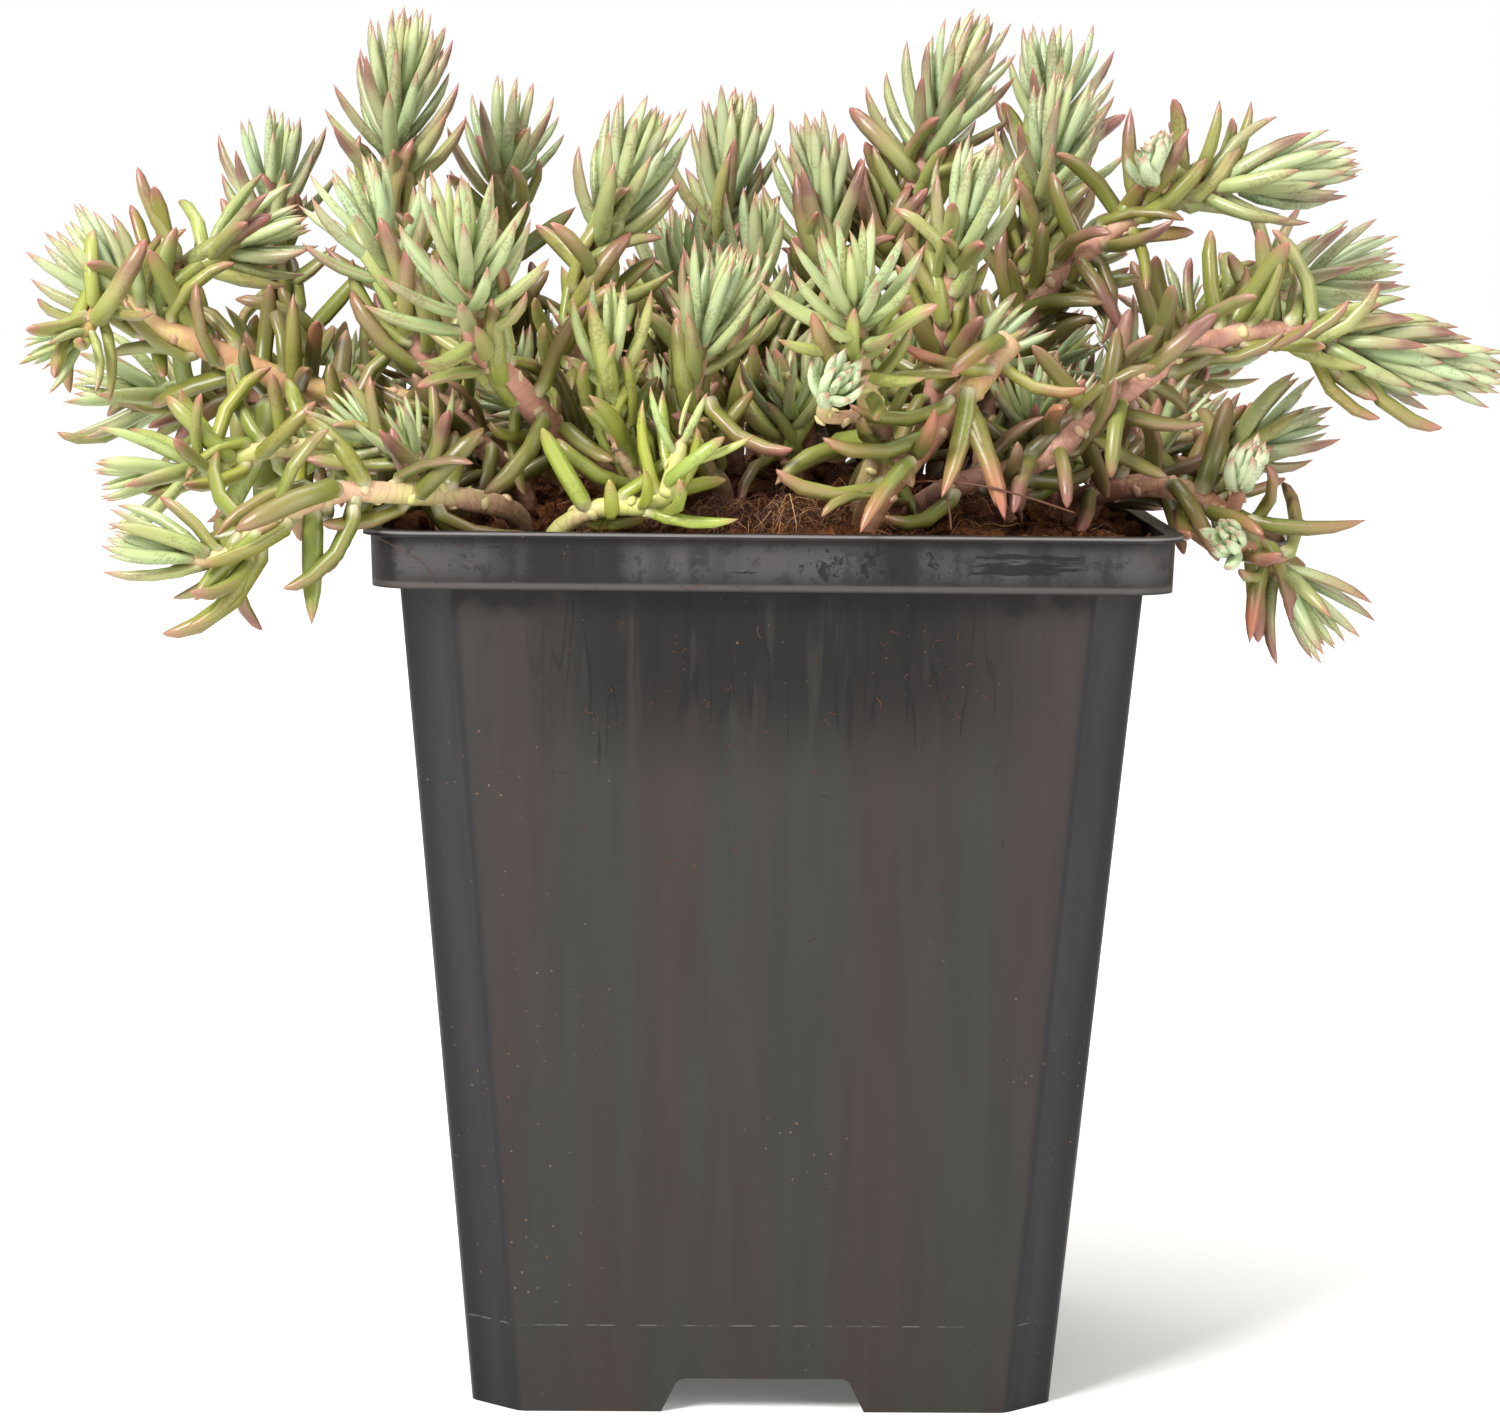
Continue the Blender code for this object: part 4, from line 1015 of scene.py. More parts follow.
def makePotLitter(material):  # specks of coir and hairs that cling to the front
    dice = random.Random(3)
    bm = tonedMesh()
    steps = potLitter["steps"]
    highest, spread = potLitter["below"]
    routes = [(hair, potLitter["hairTone"]) for hair in potLitter["hairs"]]
    for _ in range(potLitter["count"]):
        x, z = dice.uniform(*potLitter["across"]), highest - abs(dice.gauss(0, spread))
        turn, bend = dice.uniform(0, math.tau), dice.uniform(*potLitter["bends"])
        length = dice.uniform(*potLitter["length"])
        route = [(x, z)]
        for _ in range(steps):
            x, z = x + math.cos(turn) * length / steps, z + math.sin(turn) * length / steps
            turn += bend
            route.append((x, z))
        routes.append((route, dice.uniform(*potLitter["tones"])))
    for route, tone in routes:
        points = [frontOfPot(x, z) for x, z in route]
        stampTube(bm, points, [potLitter["thickness"] * mm] * len(points), 4, (tone, 0, 0, 0))
    asPiece(newObject(bm, "potLitter", [material]), "soil")


# Leaves

leafShape = {
    # share of the length, share of the half width
    "young": [(0.0, 0.5), (0.03, 0.82), (0.22, 1.0), (0.5, 0.98), (0.72, 0.8), (0.87, 0.47), (0.96, 0.19),
              (1.0, 0.02)],
    "old": [(0.0, 0.55), (0.03, 0.86), (0.12, 0.99), (0.45, 1.0), (0.75, 0.93), (0.9, 0.66), (0.975, 0.27),
            (1.0, 0.02)],
    "sides": 7,
    "fatness": 0.092,  # half the width against the length
    "innerFlat": 0.5,
    # bend at the root, then along the blade, in degrees
    "youngBends": {"straight": (0, 10), "closing": (3, 20), "cupped": (4, 28), "hugging": (-8, 44)},
    "oldBends": {"elbow": (48, 18), "sickle": (26, 64), "hooked": (60, 48), "wavy": (50, -40)},
    "bendSteps": 40,
    "rootShare": 0.22,  # of the length, over which the root bends
    "length": 11.0,
    "headLength": 11.3,
    "leastThick": 9.5,
    "rootOut": 0.62,  # how far from the middle of its stem a leaf starts, against the stem's radius
    "middle": 0.45,  # of the length
    "tipThick": 0.75,  # against the half width, for the outer part of a leaf and for the core of its tip
    "coreThick": 0.5,
    "gap": 0.16,
    "ownOverlap": -0.55,
}

spurShape = {
    "profile": [(0.0, 0.9), (0.35, 1.0), (0.7, 0.6), (1.0, 0.1)],
    "sides": 6,
    "sizes": (0.66, 0.858, 0.594),  # along the stem, across it and outward
    "start": 3.0,
    "step": 1.7,
    "stepDraw": (0.7, 1.4),
    "rootOut": 0.8,
    "lean": 0.35,
    "age": 0.1,
    "toneShare": 0.6,
}


def leafCurve(bend):  # the leaf's centre line: place sideways and up, and lean, at a share of its length
    root, blade = (math.radians(angle) for angle in bend)
    x = z = 0.0
    steps = leafShape["bendSteps"]
    line = [(0.0, 0.0, 0.0)]
    for i in range(1, steps + 1):
        share = i / steps
        lean = root * min(share / leafShape["rootShare"], 1.0) + blade * share
        x += math.sin(lean) / steps
        z += math.cos(lean) / steps
        line.append((x, z, lean))
    return lambda share: line[round(share * steps)]


def profileBody(profile, fatness, sides, along=None):
    places = [
        Matrix.Translation((0, 0, share)) @ Matrix.Diagonal((width * fatness, width * fatness, 1, 1))
        for share, width in profile
    ]
    return sweep(places, sides, along)


def makeLeafShape(profile, bend):
    fatness = leafShape["fatness"]
    bm = profileBody(profile, fatness, leafShape["sides"], [share for share, _ in profile])
    shape = bm.verts.layers.float_color["leafShape"]
    curve = leafCurve(bend)
    for vert in bm.verts:
        outer = 0.5 - vert.co.x / (2 * fatness)  # 0 on the side that the leaf bends to, 1 on its back
        vert[shape] = (vert[shape][0], min(max(outer, 0), 1), 0, 0)
        flat = vert.co.x * (leafShape["innerFlat"] if vert.co.x > 0 else 1)
        x, z, lean = curve(vert.co.z)
        vert.co = Vector((x + flat * math.cos(lean), vert.co.y, z - flat * math.sin(lean)))
    line = [Vector((x, 0, z)) for x, z, _ in map(curve, (0.0, leafShape["middle"], 1.0))]
    return asMesh(bm, "leaf"), line


# Shoots

shootShape = {
    "seed": 11,
    "standHeight": 2.8,
    "leanLimit": 32,
    "soilRoom": 0.4,
    "buried": 4.0,
    "pathSteps": 10,
    "taper": 0.18,
    "headTaper": 0.45,
    "ringStep": 1.0,
    "sides": 12,
    "apexBack": 9.0,
    "apexShare": 0.62,
    "lumps": (0.14, 900),
    "leafTurn": 137.5,  # degrees from each leaf to the next
    "turnDraw": (-0.1, 0.1),
    "bud": (0.46, 2.1),  # the size of a bud's leaves and how much stouter they are
    "budSparse": 0.5,
    "brokenBack": 1.5,
    "brokenAge": 0.8,
    "agedOver": 18,  # how far behind its head a stem has its oldest leaves
    "ownLeafAge": 0.7,
    "frontward": -0.6,  # a leaf that turns further to the front than this would hide its stem
}

# Leaves in a head, by how far they are from its tip: pairs go from the tip to the head's foot,
# and what is named a draw is the range of a random draw
headRule = {
    "closed": 7,
    "openPower": 0.62,
    "angleDraw": (-5, 5),
    "leastAngle": 3,
    "grown": (0.84, 0.03),  # the first leaf's size and what each next one gains
    "lengthDraw": (0.88, 1.04),
    "widths": (0.7, 1.02),
    "widthDraw": (0.92, 1.08),
    "innerShare": 0.4,
    "innerBends": ("straight", "closing", "cupped"),
    "outerBends": ("closing", "cupped", "cupped", "hugging"),
    "steps": (0.16, 0.52),
    "stepDraw": (0.8, 1.2),
    "twistDraw": (-0.3, 0.3),
    "ages": (0.0, 0.5),
}

# Leaves below a head: pairs go from the youngest to the oldest
stemRule = {
    "closer": 8,
    "spread": 86,
    "angleDraw": (-16, 16),
    "lengths": (1.0, 0.9),
    "lengthDraw": (0.78, 1.14),
    "widths": (1.0, 1.16),
    "widthDraw": (0.92, 1.1),
    "bends": ("cupped", "elbow", "sickle", "sickle", "hooked", "hooked", "wavy"),
    "twistDraw": (-0.9, 0.9),
    "step": 1.2,
    "steps": (0.45, 1.0),
    "stepDraw": (0.75, 1.25),
    "drooping": 0.25,
    "towards": ("heading", "upward", "upward"),
    "ages": (0.5, 1.0),
}

twigShape = {
    "places": (0.16, 0.5),
    "reach": (9, 14),
    "rise": (0.4, 1.1),
    "halfway": 0.55,
    "tipRise": 0.8,
    "tipReach": 0.5,
    "room": 2,
    "radius": 0.7,
    "head": 0.75,
    "opening": 60,
    "leaf": 0.85,
}

# How a leaf's height, age and chance tone it; leaves high in the plant are toned younger, so the low ones
# stand darker, as painted shade
leafMood = {
    "deepBelow": 122,
    "deepOver": 18,
    "deepAges": (0.8, 1.0),
    "flushDraw": (0.3, 2.4),
    "flushPower": 1.6,
    "flushAges": (0.3, 0.7),
    "limeDraw": (-0.15, 0.2),
    "burnMost": 1.4,
    "burnChance": 0.03,
}


def mixed(low, high, share):
    return low + (high - low) * share


def smoothRoute(route, start):
    before = route[0] - start * (route[1] - route[0]).length
    knots = [before, *route, route[-1] * 2 - route[-2]]
    points = [route[0]]
    for i in range(1, len(knots) - 2):
        p0, p1, p2, p3 = knots[i - 1 : i + 3]
        for step in range(1, shootShape["pathSteps"] + 1):
            t = step / shootShape["pathSteps"]
            bend = (p2 - p0) * t + (p0 * 2 - p1 * 5 + p2 * 4 - p3) * t**2
            bend += (p1 * 3 - p0 - p2 * 3 + p3) * t**3
            points.append(p1 + bend * 0.5)
    return points


class Axis:  # the line that a stem or a branch follows, ending at its head's tip

    def __init__(self, route, start, part):
        self.points = smoothRoute(route, start)
        self.start = start
        self.part = part
        self.look = part["look"]
        self.radius = part["radius"] * mm
        self.head = part["head"] * mm
        self.reach = [0.0]
        for near, far in zip(self.points, self.points[1:]):
            self.reach.append(self.reach[-1] + (far - near).length)
        self.length = self.reach[-1]
        across = start.cross(self.points[-1] - self.points[-2])
        self.side = across.normalized() if across.length > 1e-6 else start.orthogonal().normalized()

    def at(self, distance):
        distance = min(max(distance, 0.0), self.length)
        for i in range(len(self.points) - 1):
            if self.reach[i + 1] >= distance:
                span = self.reach[i + 1] - self.reach[i]
                share = (distance - self.reach[i]) / span if span else 0.0
                return self.points[i].lerp(self.points[i + 1], share)
        return self.points[-1].copy()

    def heading(self, distance):
        return (self.at(distance + 0.8 * mm) - self.at(distance - 0.8 * mm)).normalized()

    def sideways(self, distance, turn):
        heading = self.heading(distance)
        side = (self.side - heading * self.side.dot(heading)).normalized()
        return Quaternion(heading, turn) @ side

    def apex(self):  # where the youngest leaves leave the stem
        return self.length - min(shootShape["apexBack"] * mm, self.head * shootShape["apexShare"])

    def thickness(self, distance):
        radius = self.radius * (1 - shootShape["taper"] * distance / self.length)
        if not self.head:
            return radius
        share = (distance - (self.length - self.head)) / (self.apex() - (self.length - self.head))
        return radius * (1 - shootShape["headTaper"] * max(share, 0) ** 2)


def stem(base, route, radius=1.3, head=14.0, bare=2.0, gap=1.0, opening=66, **look):
    return dict(base=base, route=route, radius=radius, head=head, bare=bare, gap=gap, opening=opening,
                look=look)


def branch(share, route, radius=1.0, head=8.0, bare=1.5, opening=56, **look):
    return dict(share=share, route=route, radius=radius, head=head, bare=bare, gap=1.0, opening=opening,
                look=look)


# Where each shoot stands in the soil and the points that it passes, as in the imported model.
# flush is the red-brown on its leaves, lime their yellow, tone the stem's colour and burn the scorched tips.
shoots = {
    "far_left": [
        stem((-22, -9), [(-29, -9, 108), (-40, -12, 112), (-53, -14, 114), (-65, -14, 119), (-72, -13, 122),
                         (-81, -10, 133)],
             radius=1.7, bare=10, gap=1.1, opening=50, flush=0.4, tone=0.98, openFront=0.75),
        branch(0.86, [(-78, -18, 120), (-84, -20, 118)], flush=0.5, lime=0.4),
        branch(0.78, [(-70, -8, 125), (-67, -6, 128), (-53, -7, 133)], head=12, lime=0.3),
    ],
    "upper_left": [
        stem((-30, 12), [(-43, 15, 111), (-52, 18, 117), (-59, 20, 126), (-58, 22, 146)],
             head=16, flush=0.7, tone=0.6, twigs=1),
    ],
    "tall_left": [
        stem((-24, 6), [(-33, 9, 111), (-39, 10, 119), (-43, 12, 131), (-44, 12, 141), (-42, 12, 158)],
             radius=1.5, head=22, flush=0.8, twigs=1),
    ],
    "behind_left": [
        stem((-18, 26), [(-27, 28, 112), (-31, 29, 121), (-32, 30, 134), (-29, 32, 150)],
             head=15, flush=0.6, twigs=2),
    ],
    "front_left": [
        stem((-16, -24), [(-22, -30, 108), (-28, -38, 115), (-33, -44, 122), (-34, -51, 138)],
             radius=1.6, head=19, bare=6, gap=1.1, opening=76,
             flush=0.45, lime=0.2, tone=0.62, openFront=0.5),
    ],
    "left_inner": [
        stem((-27, -17), [(-34, -22, 110), (-39, -24, 118), (-42, -25, 126), (-48, -24, 140)],
             head=15, flush=0.35),
    ],
    "mid_left": [
        stem((-14, -9), [(-20, -14, 112), (-22, -16, 121), (-19, -16, 131), (-13, -14, 147)],
             radius=1.4, head=18, opening=54, flush=0.55, lime=0.25, twigs=1),
    ],
    "mid_back": [
        stem((-4, 10), [(-5, 9, 115), (-5, 10, 131), (-3, 11, 149)], head=17, flush=0.8, opening=54, twigs=2),
    ],
    "mid": [
        stem((5, -1), [(4, 0, 115), (7, 3, 128), (5, 5, 146)], head=17, flush=0.7, opening=50, twigs=2),
    ],
    "rosette": [
        stem((10, -26), [(12, -34, 110), (9, -43, 118), (7, -53, 133)],
             radius=1.4, head=15, opening=78, flush=0.3, lime=0.35, tone=0.3),
        branch(0.36, [(5, -44, 113), (7.5, -51, 118)], radius=0.8, head=6, bud=True, opening=70, flush=0.0),
    ],
    "small_left": [
        stem((-11, -33), [(-16, -36, 107), (-18, -38, 115), (-18, -40, 128)],
             radius=1.1, head=13, opening=40, flush=0.1, lime=0.35, tone=0.3, sparse=2.0, slim=0.95),
    ],
    "small_mid": [
        stem((-5, -25), [(-8, -30, 108), (-9, -33, 116), (-4, -35, 131)],
             radius=1.2, head=15, opening=46, flush=0.5, lime=0.2, tone=0.35, sparse=1.2, slim=0.95),
    ],
    "top_right": [
        stem((13, 11), [(16, 9, 115), (17, 8, 128), (18, 8, 139), (26, 8, 158)],
             radius=1.5, head=20, flush=0.85, twigs=2),
    ],
    "back_right": [
        stem((24, 26), [(29, 26, 114), (33, 28, 128), (35, 30, 142), (37, 32, 158)],
             head=16, flush=0.6, twigs=2),
    ],
    "right_inner": [
        stem((22, 7), [(28, 6, 116), (30, 6, 126), (32, 6, 135), (36, 6, 151)], head=17, flush=0.6, twigs=2),
    ],
    "bud_head": [
        stem((15, -13), [(18, -20, 112), (19, -22, 121), (20, -23, 128), (24, -24, 143)],
             head=15, opening=44, flush=0.35, tone=0.55, twigs=1),
    ],
    "right_top": [
        stem((25, -6), [(26, -6, 114), (29, -7, 121), (35, -9, 129), (44, -11, 136), (51, -11, 138),
                        (68, -9, 141)],
             radius=1.35, head=19, gap=0.7, opening=46, flush=0.7, spread=66, openFront=0.5),
        branch(0.66, [(43, -15, 139), (45, -17, 144)],
               radius=0.9, head=7, bud=True, opening=38, flush=0.1, lime=0.4),
    ],
    "right_mid": [
        stem((15, -30), [(21, -32, 105), (30, -33, 108), (37, -33, 114), (46, -31, 120), (54, -29, 122),
                         (63, -26, 121), (83, -21, 117)],
             radius=1.4, head=24, bare=6, gap=0.75, opening=46,
             flush=0.55, tone=0.52, spread=64, openFront=0.8),
    ],
    "right_back": [
        stem((34, 4), [(42, 4, 112), (50, 6, 120), (57, 6, 125), (76, 10, 129)],
             radius=1.4, head=18, flush=0.7, twigs=2),
    ],
    "right_low": [
        stem((33, -15), [(40, -20, 104), (46, -22, 104), (52, -22, 101), (57, -22, 96), (65, -22, 86)],
             radius=1.4, head=13, flush=0.7, tone=0.7, burn=0.3),
        branch(0.42, [(53, -18, 108), (64, -16, 112)], head=13, flush=0.75),
        branch(0.52, [(53, -27, 106), (55, -29, 110)],
               radius=0.9, head=7, bud=True, opening=45, flush=0.15, lime=0.4),
        branch(0.64, [(52, -28, 98), (50, -33, 100)], radius=0.9, head=6, bud=True, opening=60, flush=0.0),
    ],
    "left_low": [
        stem((-27, -32), [(-33, -38, 103), (-41, -43, 104), (-48, -46, 104), (-55, -47, 101), (-60, -47, 97),
                          (-72, -46, 100)],
             head=12, bare=8, opening=40, sparse=1.3, flush=0.45, lime=0.3, tone=0.27, openFront=0.5),
    ],
    "left_yellow": [
        stem((-34, -22), [(-42, -24, 106), (-53, -27, 108), (-63, -28, 106), (-75, -29, 103)],
             radius=1.2, head=12, flush=0.25, lime=0.6, tone=0.05),
    ],
    "left_leafy": [
        stem((-34, 3), [(-45, 4, 109), (-57, 6, 112), (-68, 6, 112), (-82, 6, 114)],
             head=13, flush=0.4, lime=0.2, twigs=1),
    ],
    "rim_lime": [
        stem((-25, -39), [(-19, -41, 102.5), (-13, -42, 103), (-11, -43, 107), (-9, -44, 116)],
             radius=1.1, head=9, gap=1.5, opening=74,
             flush=0.0, lime=0.85, tone=0.0, leaf=0.9, sparse=2.8, slim=0.95),
    ],
    "broken": [
        stem((10, -37), [(13, -38, 106), (20, -37, 114), (26, -35, 121)],
             radius=1.8, head=0, gap=5.0, flush=0.3, tone=0.86, burn=0.9),
    ],
    "left_front": [
        stem((-36, -31), [(-38, -33, 104), (-42, -35, 114)], radius=1.1, head=9, lime=0.2, twigs=1),
    ],
    "gap_left": [
        stem((-12, -18), [(-12, -20, 108), (-15, -23, 118)], radius=1.1, head=10, lime=0.3, twigs=1),
    ],
    "gap_mid": [
        stem((3, -17), [(2, -20, 108), (2, -24, 119)], radius=1.1, head=10, lime=0.2, twigs=1),
    ],
    "gap_right": [stem((27, -22), [(30, -22, 107), (33, -21, 118)], radius=1.1, head=10, flush=0.4, twigs=2)],
    "right_rim": [stem((37, -5), [(44, -7, 106), (53, -8, 113)], radius=1.1, head=11, flush=0.6, twigs=1)],
}

# Single leaves in the front: root, tip, the side that they bend to and their bend
ownLeaves = {
    "far_left": [
        ((-57, -15, 112), (-57, -18, 96), "down", "hooked"),
        ((-51, -15, 111), (-53, -20, 97), "down", "sickle"),
        ((-46, -14, 112), (-37, -18, 118), "up", "sickle"),
        ((-54, -15, 114), (-54, -18, 125), "up", "cupped"),
        ((-61, -15, 116), (-60, -19, 105), "down", "hooked"),
    ],
    "left_inner": [
        ((-40, -25, 120), (-47, -24, 129), "up", "sickle"),
        ((-41, -25, 122), (-44, -21, 130), "up", "sickle"),
    ],
    "top_right": [
        ((17, 8, 131), (9, 8, 144), "up", "sickle"),
        ((17, 8, 129), (11, 4, 141), "up", "sickle"),
        ((17, 8, 133), (14, 8, 146), "up", "cupped"),
    ],
    "right_top": [
        ((42, -11, 136), (41, -12, 147), "up", "cupped"),
        ((48, -11, 138), (51, -13, 148), "up", "cupped"),
        ((51, -11, 138), (55, -10, 148), "up", "cupped"),
    ],
    "right_mid": [
        ((61, -26, 120.5), (68, -28, 112.5), "up", "sickle"),
        ((66, -25, 120), (75, -28, 111.5), "up", "sickle"),
        ((20.5, -38, 113), (25, -43, 101.5), "down", "cupped"),
        ((28.5, -34, 107), (26, -42, 102.3), "down", "hooked"),
        ((31.5, -34, 108.5), (32, -40.5, 102.8), "down", "sickle"),
        ((38.5, -34, 114), (37, -38, 106), "down", "hooked"),
    ],
    "right_low": [
        ((54, -23, 101), (67, -26, 101), "up", "cupped"),
        ((56, -23, 97), (54, -27, 87), "down", "cupped"),
    ],
    "left_low": [
        ((-56, -47, 99), (-66, -49, 89), "up", "sickle"),
        ((-57, -48, 99), (-63, -51, 90), "up", "sickle"),
        ((-50, -46, 103), (-50, -48, 90), "up", "cupped"),
        ((-46, -46, 103), (-53, -49, 94), "up", "sickle"),
    ],
    "left_leafy": [
        ((-74, 5, 110), (-83, 3, 108), "up", "sickle"),
    ],
    "rim_lime": [
        ((-14, -43, 102.5), (-4, -46.5, 101.8), "up", "cupped"),
    ],
    "broken": [
        ((17, -40, 112), (5, -43, 110.5), "up", "sickle"),
        ((15, -41, 108), (9, -47, 100.3), "down", "cupped"),
        ((21, -39, 116), (18, -43, 104), "up", "cupped"),
        ((24, -37, 118), (13, -41, 121), "up", "cupped"),
        ((21, -38, 114), (24, -42, 103), "down", "cupped"),
        ((25, -36, 119), (34, -39, 116), "up", "sickle"),
    ],
    "gap_mid": [
        ((8, -27, 108), (0, -39, 105), "down", "cupped"),
        ((7, -24, 107), (15, -41, 105), "down", "sickle"),
        ((12, -39, 106), (0, -42.5, 107), "up", "sickle"),
        ((11.5, -39, 103.5), (5, -43, 101.8), "down", "sickle"),
        ((20, -34, 104.5), (12, -42, 102), "up", "sickle"),
        ((-7, -33.5, 114.5), (2, -39, 109), "up", "sickle"),
        ((19.3, -38, 115), (8, -40, 114), "up", "sickle"),
    ],
}

# The arms behind the pot and the short upright shoots in the middle
ruleShoots = {
    # shares of the way from foot to tip, across and in depth
    "overRim": (0.35, 0.42),
    "rimHeight": 107,
    "beyondRim": (0.7, 0.72),
    "belowTip": 5,
    "backLook": {"flush": (0.3, 0.8), "lime": (0, 0.3), "tone": (0.35, 0.7)},
    "innerMiddle": 0.6,
    "innerFoot": 100,
    "innerLook": {"flush": (0.2, 0.75), "lime": (0, 0.35), "tone": (0.3, 0.6)},
}

# foot, then tip
backArms = [
    (29.99, 24.26, 60.56, 17.14, 122.35), (21.78, 30.60, 48.88, 34.22, 113.05),
    (15.44, 32.12, 28.26, 47.55, 121.30), (-1.14, 31.52, 5.60, 52.80, 120.32),
    (-12.58, 33.89, -23.58, 49.27, 122.48), (-25.21, 29.61, -46.52, 36.40, 112.12),
    (-26.87, 20.05, -61.23, 15.42, 111.55),
]

innerShoots = [
    (-8.29, -1.32, -9.39, -1.49, 135.15), (-14.70, 15.20, -19.39, 20.05, 127.41),
    (-3.81, -11.84, -4.31, -13.39, 131.42), (-7.02, 29.51, -9.31, 39.11, 134.68),
    (15.90, -3.23, 18.43, -3.75, 124.42), (-28.27, -0.26, -31.61, -0.29, 120.98),
    (-36.51, 21.39, -42.88, 25.12, 126.27), (-8.28, 14.27, -10.51, 18.11, 134.31),
    (8.07, 23.03, 9.36, 26.72, 128.23), (29.95, 36.54, 37.43, 45.67, 123.18),
    (18.67, 24.58, 23.42, 30.83, 127.56), (28.07, 15.77, 37.22, 20.91, 119.67),
    (34.14, 10.32, 43.19, 13.06, 118.90), (-1.21, -4.49, -1.37, -5.08, 136.81),
    (20.76, 14.63, 23.16, 16.32, 122.22), (8.68, 12.97, 11.60, 17.32, 125.32),
    (-9.99, 24.70, -10.86, 26.83, 128.16),
]


def randomLook(dice, ranges):
    return {"twigs": 2, **{name: dice.uniform(*ends) for name, ends in ranges.items()}}


def addShootsByRule(dice):
    for i, (x, y, tipX, tipY, height) in enumerate(backArms):
        (across, deep), (farAcross, farDeep) = ruleShoots["overRim"], ruleShoots["beyondRim"]
        overRim = (mixed(x, tipX, across), mixed(y, tipY, deep), ruleShoots["rimHeight"])
        beyond = (mixed(x, tipX, farAcross), mixed(y, tipY, farDeep), height - ruleShoots["belowTip"])
        look = randomLook(dice, ruleShoots["backLook"])
        route = [overRim, beyond, (tipX, tipY, height)]
        shoots[f"back_arm_{i + 1}"] = [stem((x, y), route, radius=1.4, head=15, bare=4, **look)]
    for i, (x, y, tipX, tipY, height) in enumerate(innerShoots):
        foot, tip, share = (x, y, ruleShoots["innerFoot"]), (tipX, tipY, height), ruleShoots["innerMiddle"]
        middle = [mixed(low, high, share) for low, high in zip(foot, tip)]
        look = randomLook(dice, ruleShoots["innerLook"])
        shoots[f"inner_{i + 1}"] = [stem((x, y), [middle, tip], radius=1.2, head=13, **look)]


def clearOfPot(point, room):
    side = max(abs(point.x), abs(point.y))
    if side < (potShape["bandHalf"] - potShape["wall"]) * mm - room:
        return point.z > soilHeight(point.x, point.y) + room + shootShape["soilRoom"] * mm
    if side < potShape["lipHalf"] * mm + room:
        return point.z > potShape["height"] * mm + room
    return True


def addTwigs(axes, dice):  # short side shoots low on a stem
    main = axes[0]
    for _ in range(main.look.get("twigs", 0)):
        share = dice.uniform(*twigShape["places"])
        distance = share * main.length
        reach = dice.uniform(*twigShape["reach"]) * mm
        side = main.sideways(distance, dice.uniform(0, math.tau))
        out = (side + upward * dice.uniform(*twigShape["rise"])).normalized()
        root = main.at(distance)
        half = root + out * reach * twigShape["halfway"]
        tip = half + (out + upward * twigShape["tipRise"]).normalized() * reach * twigShape["tipReach"]
        if all(clearOfPot(point, twigShape["room"] * mm) for point in (half, tip)):
            route = [root, half, tip]
            radius, head = main.part["radius"] * twigShape["radius"], reach / mm * twigShape["head"]
            part = branch(share, route, radius=radius, head=head, opening=twigShape["opening"])
            part["look"] = dict(main.look, leaf=twigShape["leaf"])
            axes.append(Axis(route, out, part))


def makeAxes(parts):
    axes = []
    limit = math.radians(shootShape["leanLimit"])
    for part in parts:
        route = [Vector(point) * mm for point in part["route"]]
        if "base" in part:
            x, y = (value * mm for value in part["base"])
            foot = Vector((x, y, soilHeight(x, y)))
            start = upward.lerp((route[0] - foot).normalized(), 0.5).normalized()
            tilt = start.angle(upward)
            if tilt > limit:
                start = upward.slerp(start, limit / tilt)
            route.insert(0, foot + start * shootShape["standHeight"] * mm)
        else:
            root = axes[0].at(part["share"] * axes[0].length)
            start = (route[0] - root).normalized()
            route.insert(0, root)
        axes.append(Axis(route, start, part))
    return axes


class Neighbours:  # the stems and leaves placed so far, as thick straight pieces with their shoot's number

    def __init__(self, size=40000):
        self.count = 0
        self.starts, self.ends, self.middles = (np.zeros((size, 3)) for _ in range(3))
        self.radii, self.reaches = np.zeros(size), np.zeros(size)
        self.owners = np.zeros(size, int)

    def add(self, start, end, radius, owner):
        i = self.count
        self.starts[i], self.ends[i], self.middles[i] = start, end, (start + end) / 2
        self.radii[i], self.reaches[i], self.owners[i] = radius, (end - start).length / 2 + radius, owner
        self.count += 1

    def clearance(self, start, end, radius, owner, own=False):  # the least space to other shoots, or its own
        middle = (start + end) / 2
        reach = (end - start).length / 2 + radius + 0.5 * mm
        upTo = slice(0, self.count)
        near = np.abs(self.middles[upTo] - np.array(middle)).max(1) < self.reaches[upTo] + reach
        near &= (self.owners[upTo] == owner) if own else (self.owners[upTo] != owner)
        if not near.any():
            return 1.0
        apart = gapsBetween(np.array(start), np.array(end), self.starts[upTo][near], self.ends[upTo][near])
        return float((apart - self.radii[upTo][near]).min()) - radius


def gapsBetween(start, end, starts, ends):  # the distances from one straight piece to many
    along, others, apart = end - start, ends - starts, start - starts
    ownSquare = max(float(along @ along), 1e-14)
    squares = np.maximum((others * others).sum(1), 1e-14)
    f, c, b = (others * apart).sum(1), apart @ along, others @ along
    s = np.clip((b * f - c * squares) / np.maximum(ownSquare * squares - b * b, 1e-14), 0, 1)
    t = np.clip((b * s + f) / squares, 0, 1)
    s = np.clip((b * t - c) / ownSquare, 0, 1)
    return np.linalg.norm(start + s[:, None] * along - starts - t[:, None] * others, axis=1)


